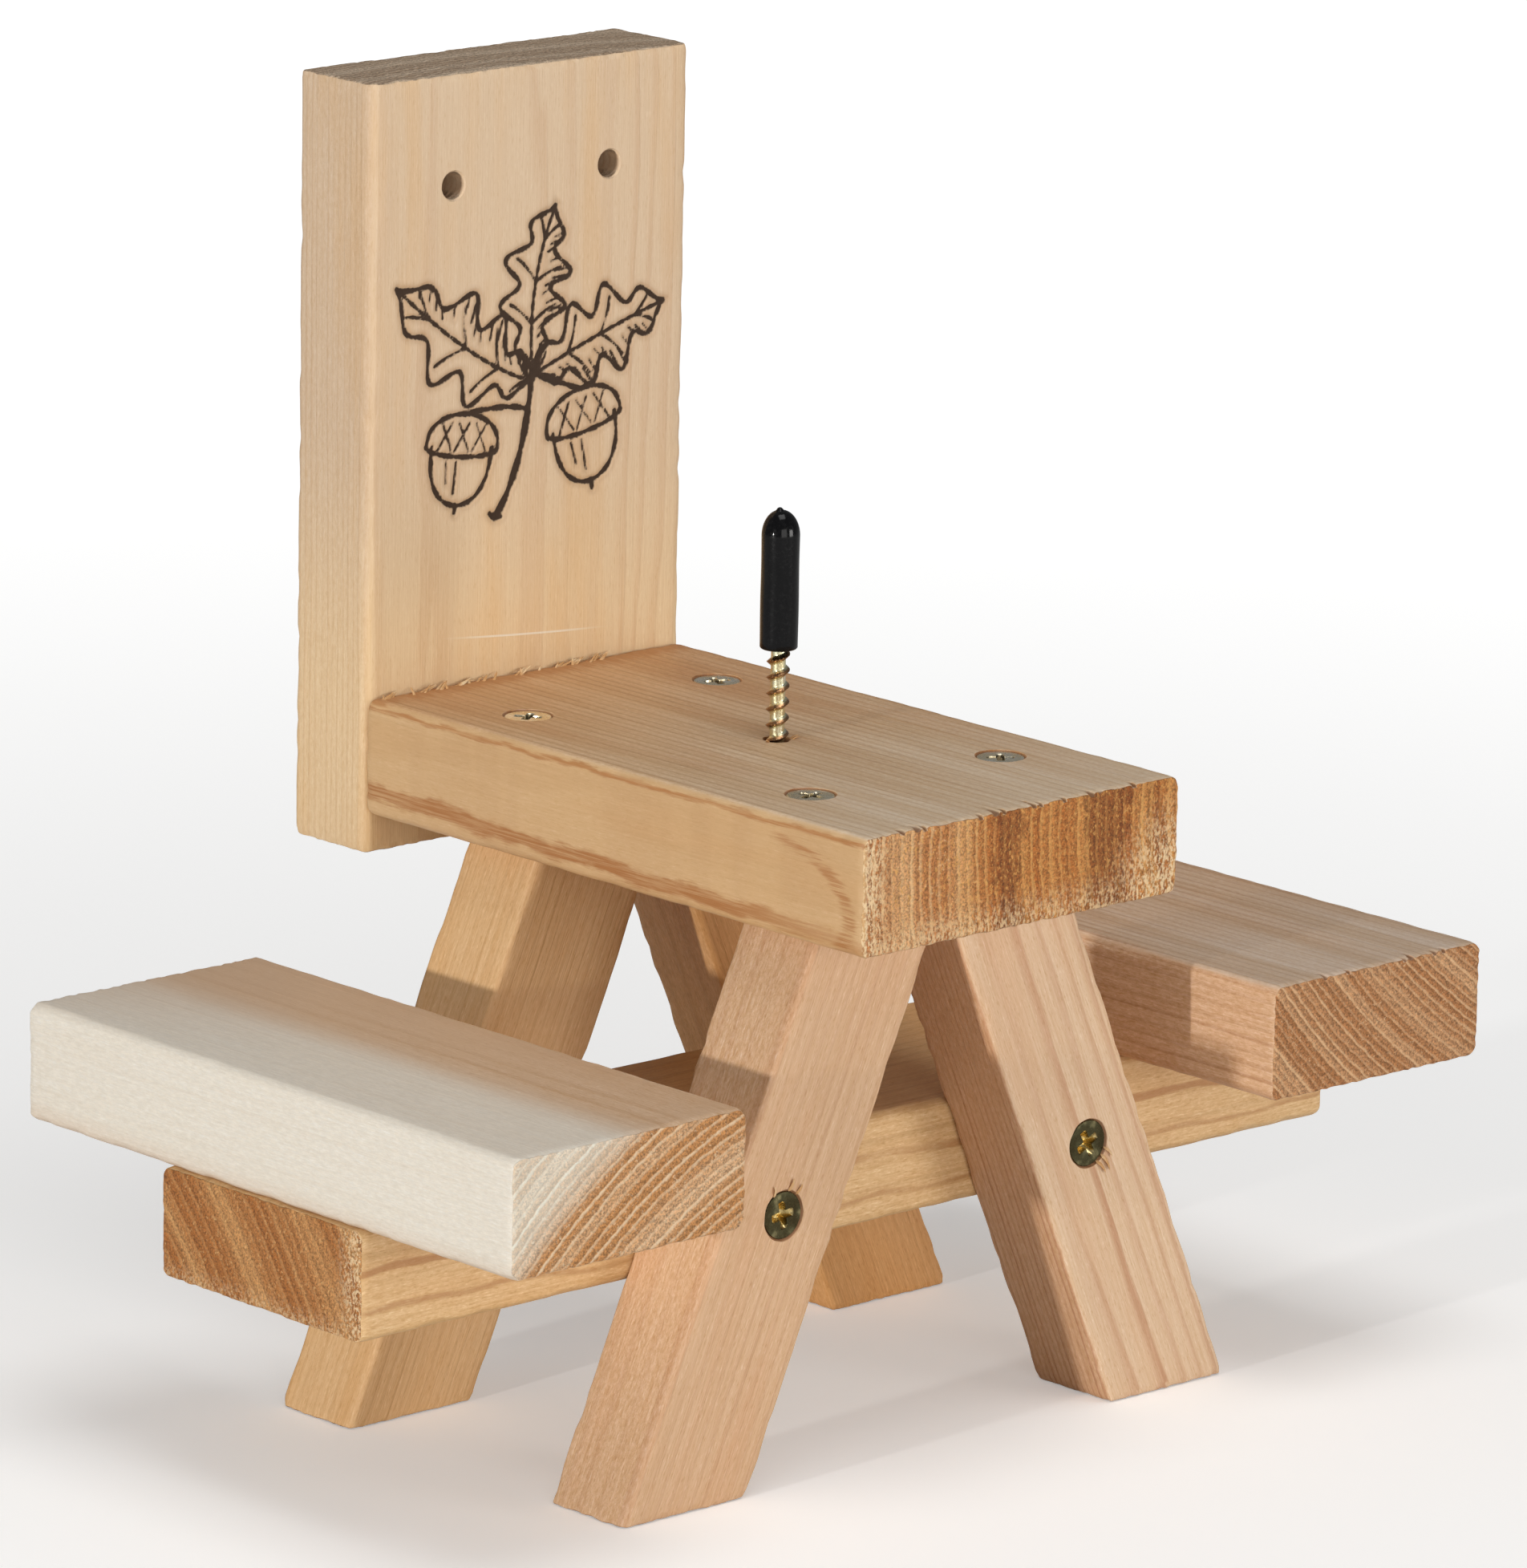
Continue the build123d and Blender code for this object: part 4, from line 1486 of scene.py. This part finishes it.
def burned(colour, dull, at):
    """The sprig over the wood: char inside the strokes, dull as soot, and a
    scorched halo that fades away from them, both with an uneven edge; and a
    pale scratch across the lower part of the board.  That lower part is more
    golden and also painted lighter, painted light that evens out the shade
    near the table top."""
    # Painted light: the board's lower part is lifted lighter as well as more golden.
    colour = gain(colour, GOLDEN_TONE_AND_PAINTED_LIGHT, ramp(at.z, 205.0, 135.0))
    rough_edge = noise(at.place, (1.6, 1.6, 0.8)) - 0.5
    away = stored(colour.tree, "burn_distance") + rough_edge * 0.5
    colour = blend(ramp(away, 1.8, 0.0, 0.0, 0.34), colour, SCORCH)
    char = ramp(away, 0.16, -0.14, 0.0, 0.96)
    colour = blend(char, colour, CHAR)
    path = at.x * SCRATCH_SLOPE + (at.x * at.x * SCRATCH_BOW + SCRATCH_HEIGHT)
    line = ramp(abs(at.z - path), 0.3, 0.12) * ramp(abs(at.x), 25.0, 8.0, 0.0, 0.75)
    line = line * ramp(at.y, back_low[1] + 1, back_low[1] + 0.5)
    return blend(line, colour, SCRATCH), dull.math("MAXIMUM", char)


def darkened(colour, name, low, high, most):
    """Dark torn wood and painted shade where a value kept at the points rises."""
    return blend(ramp(stored(colour.tree, name), low, high, 0.0, most), colour, TORN_AND_SHADE)


print("scratch about", SCRATCH_HEIGHT, "mm up the back board")

# %% [markdown]
# ## The wood of each board
#
# One function makes every board's material: it turns the place into the log's
# own directions, asks the cedar group for the wood, and adds the marks that
# this board has. The slivers are fresh wood, too small to show rings.

# %% Wood materials
FIBRE_DEPTH = 0.00012
LOG_STEP = 400.0
SLIVER_BROWN = (0.60, 0.33, 0.13)
# Narrow sides: those of the right front leg are painted darker and redder, a painted shade with painted warm
# light bounced from the left leg; the back board's are a little darker.
EDGE_GAIN_AND_PAINTED_SHADE = {"back_board": (0.94, 0.93, 0.94), "front_right_leg": (0.88, 0.76, 0.68)}


def faces_along(normal, direction):
    """1 where a surface faces along a direction or against it, 0 elsewhere."""
    return ramp(abs(vector_math("DOT_PRODUCT", normal, tuple(direction), "Value")), 0.55, 0.85)


def wood_material(name, finish, number):
    """Bare cedar for one board, from its own part of the log."""
    look = new_look(name)
    turn = Euler(finish.turn).to_matrix()
    middle = turn @ Vector(sum(node_box(name)) / 2)
    shift = (finish.pith[0] - middle.x, finish.pith[1] - middle.y, number * LOG_STEP)
    place = wire(look.tree, "ShaderNodeMapping", {
        "Vector": look.metres, "Location": shift, "Rotation": finish.turn, "Scale": (1 / MM,) * 3,
    })
    end = faces_along(look.normal, turn.transposed() @ Vector(Z))
    edge = faces_along(look.normal, Y if name == "seat_beam" else X)
    top = ramp(parts(look.normal)[2], 0.6, 0.95)
    wood = look.tree.nodes.new("ShaderNodeGroup")
    wood.node_tree = cedar
    values = {field.replace("_", " ").title(): value for field, value in finish._asdict().items()}
    values.update({"Place": place, "End": end, "Sawn": edge * finish.sawn})
    for socket in wood.inputs:
        fill(socket, values[socket.name])
    colour, dull, height, radius = (Wire(look.tree, socket) for socket in wood.outputs)
    spot = vector_math("MULTIPLY", look.metres, (1 / MM,) * 3)
    at = At(spot, *parts(spot), place, end, edge, top, radius)
    # Painted shade and bounce light on the right front leg's narrow sides.
    if name in EDGE_GAIN_AND_PAINTED_SHADE:
        colour = gain(colour, EDGE_GAIN_AND_PAINTED_SHADE[name], edge)
    # Upper faces: weather-greyed, and grey also as a painted sheen.
    if name in TOPS:
        colour = weathered_with_sheen(colour, at, name)
    if name == "left_seat":
        colour = sapwood(colour, at)
    if name == "table_top":
        colour = table_ends(table_side(colour, at), at)
    if name == "seat_beam":
        colour = beam_marks(colour, at)
    # Notches: dark torn wood, partly a painted shade inside them.
    if name in TEARS:
        colour = darkened(colour, "torn", 0.05, 0.5, 0.85)
    # Screw pits: dark crushed wood, partly a painted shade on their walls.
    colour = darkened(colour, "pit_crush_and_shade", 0.0, 0.7, 0.86)
    if name == "back_board":
        colour, dull = burned(colour, dull, at)
    dress(look, colour, dull, height, 1.0, FIBRE_DEPTH)
    return look.material


def sliver_material():
    """Fresh torn wood, from straw to orange brown from one sliver to another."""
    look = new_look("torn_wood")
    tone = noise(look.metres, (240.0,) * 3)
    fibre = noise(look.metres, (2400.0, 2400.0, 600.0))
    colour = blend(ramp(tone, 0.25, 0.55), FUZZ, SLIVER_BROWN)
    dress(look, colour, ramp(fibre, 0.3, 0.7, 0.55, 0.75), fibre, 1.0, FIBRE_DEPTH)
    return look.material


sliver_piece.data.materials.append(sliver_material())
for number, (name, finish) in enumerate(finishes.items(), start=1):
    boards[name].data.materials.append(wood_material(name, finish, number))
print("cedar finishes:", len(finishes))

# %% [markdown]
# ## Plated steel and vinyl
#
# The screws are steel with a yellow zinc plating, which shimmers from straw to
# faint green and pink, so slow noise shifts the colour. The leg and beam screws
# are painted nearly black, a painted reflection of dark surroundings, and each
# head's recess has a painted tone: painted shade in the long screws and painted
# glints in the short ones. The cap is black vinyl: a dark base with a clear
# gloss and a faint ripple from dipping.

# %% Plated steel
Plate = namedtuple("Plate", "low high gleam hollow rough metal")
plates_with_painted_light = {
    # Long screws: the dark recess tone is painted shade.
    long_piece: Plate(
        (0.80, 0.68, 0.44), (0.80, 0.76, 0.62), (0.94, 0.90, 0.82), (0.10, 0.075, 0.04), 0.3, 0.92),
    # Short screws: nearly black, a painted reflection of dark surroundings, with painted golden glints in
    # the recess.
    short_piece: Plate(
        (0.07, 0.055, 0.025), (0.11, 0.10, 0.05), (0.42, 0.36, 0.18), (0.85, 0.66, 0.30), 0.26, 1.0),
    spike_piece: Plate(
        (0.82, 0.74, 0.46), (0.74, 0.76, 0.56), (0.9, 0.78, 0.6), (0.5, 0.4, 0.2), 0.3, 1.0),
}
CREST = (0.36, 0.2, 0.1)
PLATE_GRAIN = 0.00003


def plated_material(name, plate, threaded):
    """Yellow zinc plate, a metal whose colour drifts slowly between two tints
    with a third in places; a head's recess takes its painted recess tone, and
    on a thread the crests are darker."""
    look = new_look(name)
    slow = noise(look.metres, (260.0,) * 3)
    quick = noise(look.metres, (2200.0,) * 3, 3.0)
    tint = blend(ramp(slow, 0.35, 0.65), plate.low, plate.high)
    tint = blend(ramp(slow, 0.55, 0.75, 0.0, 0.8), tint, plate.gleam)
    # The recess takes painted shade in the long screws and painted glints in the short ones.
    tint = blend(stored(look.tree, "recess"), tint, plate.hollow)
    if threaded:
        centred = vector_math("SUBTRACT", look.metres, (0, spike_y * MM, 0))
        flat = vector_math("MULTIPLY", centred, (1 / MM, 1 / MM, 0))
        out = vector_math("LENGTH", flat, output="Value")
        tint = blend(ramp(out, CORE_RADIUS + 0.15, CORE_RADIUS + 0.6), tint, CREST)
    dull = ramp(quick, 0.3, 0.7, plate.rough - 0.08, plate.rough + 0.08)
    dress(look, tint, dull, quick, 0.4, PLATE_GRAIN)
    fill(look.shader["Metallic"], plate.metal)
    return look.material


for made, plate in plates_with_painted_light.items():
    made.data.materials.append(plated_material(made.name + "_plate", plate, made == spike_piece))
print("plated pieces:", len(plates_with_painted_light))

# %% Black vinyl
VINYL_DARK = (0.003, 0.003, 0.0035)
VINYL_DUSTY = (0.008, 0.008, 0.0085)
RIPPLE_DEPTH = 0.0002
vinyl = new_look("black_vinyl_cap")
ripple = noise(vinyl.metres, (420.0, 420.0, 160.0))
dust = noise(vinyl.metres, (1500.0,) * 3, 4.0)
tone = blend(ramp(dust, 0.45, 0.8), VINYL_DARK, VINYL_DUSTY)
dress(vinyl, tone, ramp(dust, 0.35, 0.75, 0.1, 0.2), ripple, 0.5, RIPPLE_DEPTH)
fill(vinyl.shader["Specular IOR Level"], 0.2)
cap_piece.data.materials.append(vinyl.material)
print("vinyl on", cap_piece.name)

# %% [markdown]
# ## Floor, light and camera
#
# The photograph was taken against white, with a small low lamp at the left that
# draws hard shadows, soft light from the front and a weak light on the tops. A
# large pale floor and four square lights do the same. The floor glows a little,
# for the camera alone, so that it goes over into white far off and lights
# nothing, and it is clear from below, so that the underside can be looked at.

# %% Floor
FLOOR_SIZE = 12000.0
FLOOR_DROP = 0.05
corners = np.array([[-1, -1], [1, -1], [1, 1], [-1, 1]]) * FLOOR_SIZE / 2
floor_points = np.column_stack([corners, np.full(4, -FLOOR_DROP)])
floor_mesh = bpy.data.meshes.new("pale_floor")
floor_mesh.from_pydata((floor_points * MM).tolist(), [], [(0, 1, 2, 3)])
floor = bpy.data.objects.new("pale_floor", floor_mesh)
scene.collection.objects.link(floor)
paint = new_look("pale_floor_paint")
cloud = noise(paint.metres, (3.0,) * 3)
fill(paint.shader["Base Color"], blend(cloud, (0.86, 0.86, 0.855), (0.9, 0.9, 0.895)))
fill(paint.shader["Roughness"], 0.8)
far = vector_math("LENGTH", paint.metres, output="Value")
glow = ramp(far, 0.1, 1.1, 0.3, 0.66) + ramp(far, 0.9, 2.4, 0.0, 0.34)
by_camera = wire(paint.tree, "ShaderNodeLightPath", {}, "Is Camera Ray")
fill(paint.shader["Emission Color"], grey(glow * by_camera))
fill(paint.shader["Emission Strength"], 1.0)
below = wire(paint.tree, "ShaderNodeNewGeometry", {}, "Backfacing")
solid = Wire(paint.tree, paint.tree.nodes["Principled BSDF"].outputs[0])
clear = wire(paint.tree, "ShaderNodeBsdfTransparent")
surface = wire(paint.tree, "ShaderNodeMixShader", {0: below, 1: solid, 2: clear})
fill(paint.tree.nodes["Material Output"].inputs["Surface"], surface)
floor_mesh.materials.append(paint.material)
print("floor", FLOOR_SIZE * MM, "m wide")

# %% Light
target = Vector((5.315, -5.0, 129.742)) * MM
WARM_WHITE = (1.0, 0.98, 0.95)
NEAR_WHITE = (1.0, 0.99, 0.98)
SURROUND = (0.97, 0.985, 1.0)
SURROUND_STRENGTH = 0.2


def outward(azimuth, elevation):
    """Direction from the table to a light or camera: azimuth 0 is straight in
    front and turns to the right, both in degrees."""
    a, e = radians(azimuth), radians(elevation)
    return Vector((sin(a) * cos(e), -cos(a) * cos(e), sin(e)))


def square_light(name, azimuth, elevation, distance, size, power, colour):
    """A square light, metres away and metres wide, that looks at the table."""
    data = bpy.data.lights.new(name, "AREA")
    data.shape = "SQUARE"
    data.size = size
    data.energy = power
    data.color = colour
    made = bpy.data.objects.new(name, data)
    direction = outward(azimuth, elevation)
    made.location = target + direction * distance
    made.rotation_euler = direction.to_track_quat("Z", "Y").to_euler()
    scene.collection.objects.link(made)
    print(f"{name}: {power} W, {size} m wide")


square_light("left_light", -84, 5, 2.4, 0.08, 26.5, WARM_WHITE)
square_light("front_light", 22, 3, 2.4, 0.8, 21, WARM_WHITE)
square_light("fill_light", -20, 6, 2.4, 1.3, 15, WARM_WHITE)
square_light("top_light", -20, 78, 2.2, 1.2, 18, NEAR_WHITE)
world = bpy.data.worlds.new("studio_surround")
scene.world = world
world.use_nodes = True
surround = world.node_tree.nodes["Background"].inputs
fill(surround["Color"], SURROUND)
fill(surround["Strength"], SURROUND_STRENGTH)
scene.view_settings.view_transform = "Standard"

# %% Camera
PHOTO_HEIGHT = 1955
FOCAL_PIXELS = 12694.9
SENSOR = 36.0
CAMERA_AZIMUTH = -42.641
CAMERA_ELEVATION = 13.765
CAMERA_ROLL = -1.108
CAMERA_DISTANCE = 2.1308
back = outward(CAMERA_AZIMUTH, CAMERA_ELEVATION)
right = Vector(Z).cross(back).normalized()
up = back.cross(right)
roll = radians(CAMERA_ROLL)
camera_right = right * cos(roll) - up * sin(roll)
camera_up = right * sin(roll) + up * cos(roll)
camera_data = bpy.data.cameras.new("photo_camera")
camera_data.sensor_width = SENSOR
camera_data.lens = FOCAL_PIXELS / PHOTO_HEIGHT * SENSOR
camera = bpy.data.objects.new("photo_camera", camera_data)
eye = target + back * CAMERA_DISTANCE
turn = Matrix((camera_right, camera_up, back)).transposed()
camera.matrix_world = Matrix.Translation(eye) @ turn.to_4x4()
scene.collection.objects.link(camera)
scene.camera = camera
print("camera lens", round(camera_data.lens, 1), "mm at", [round(v, 3) for v in eye])
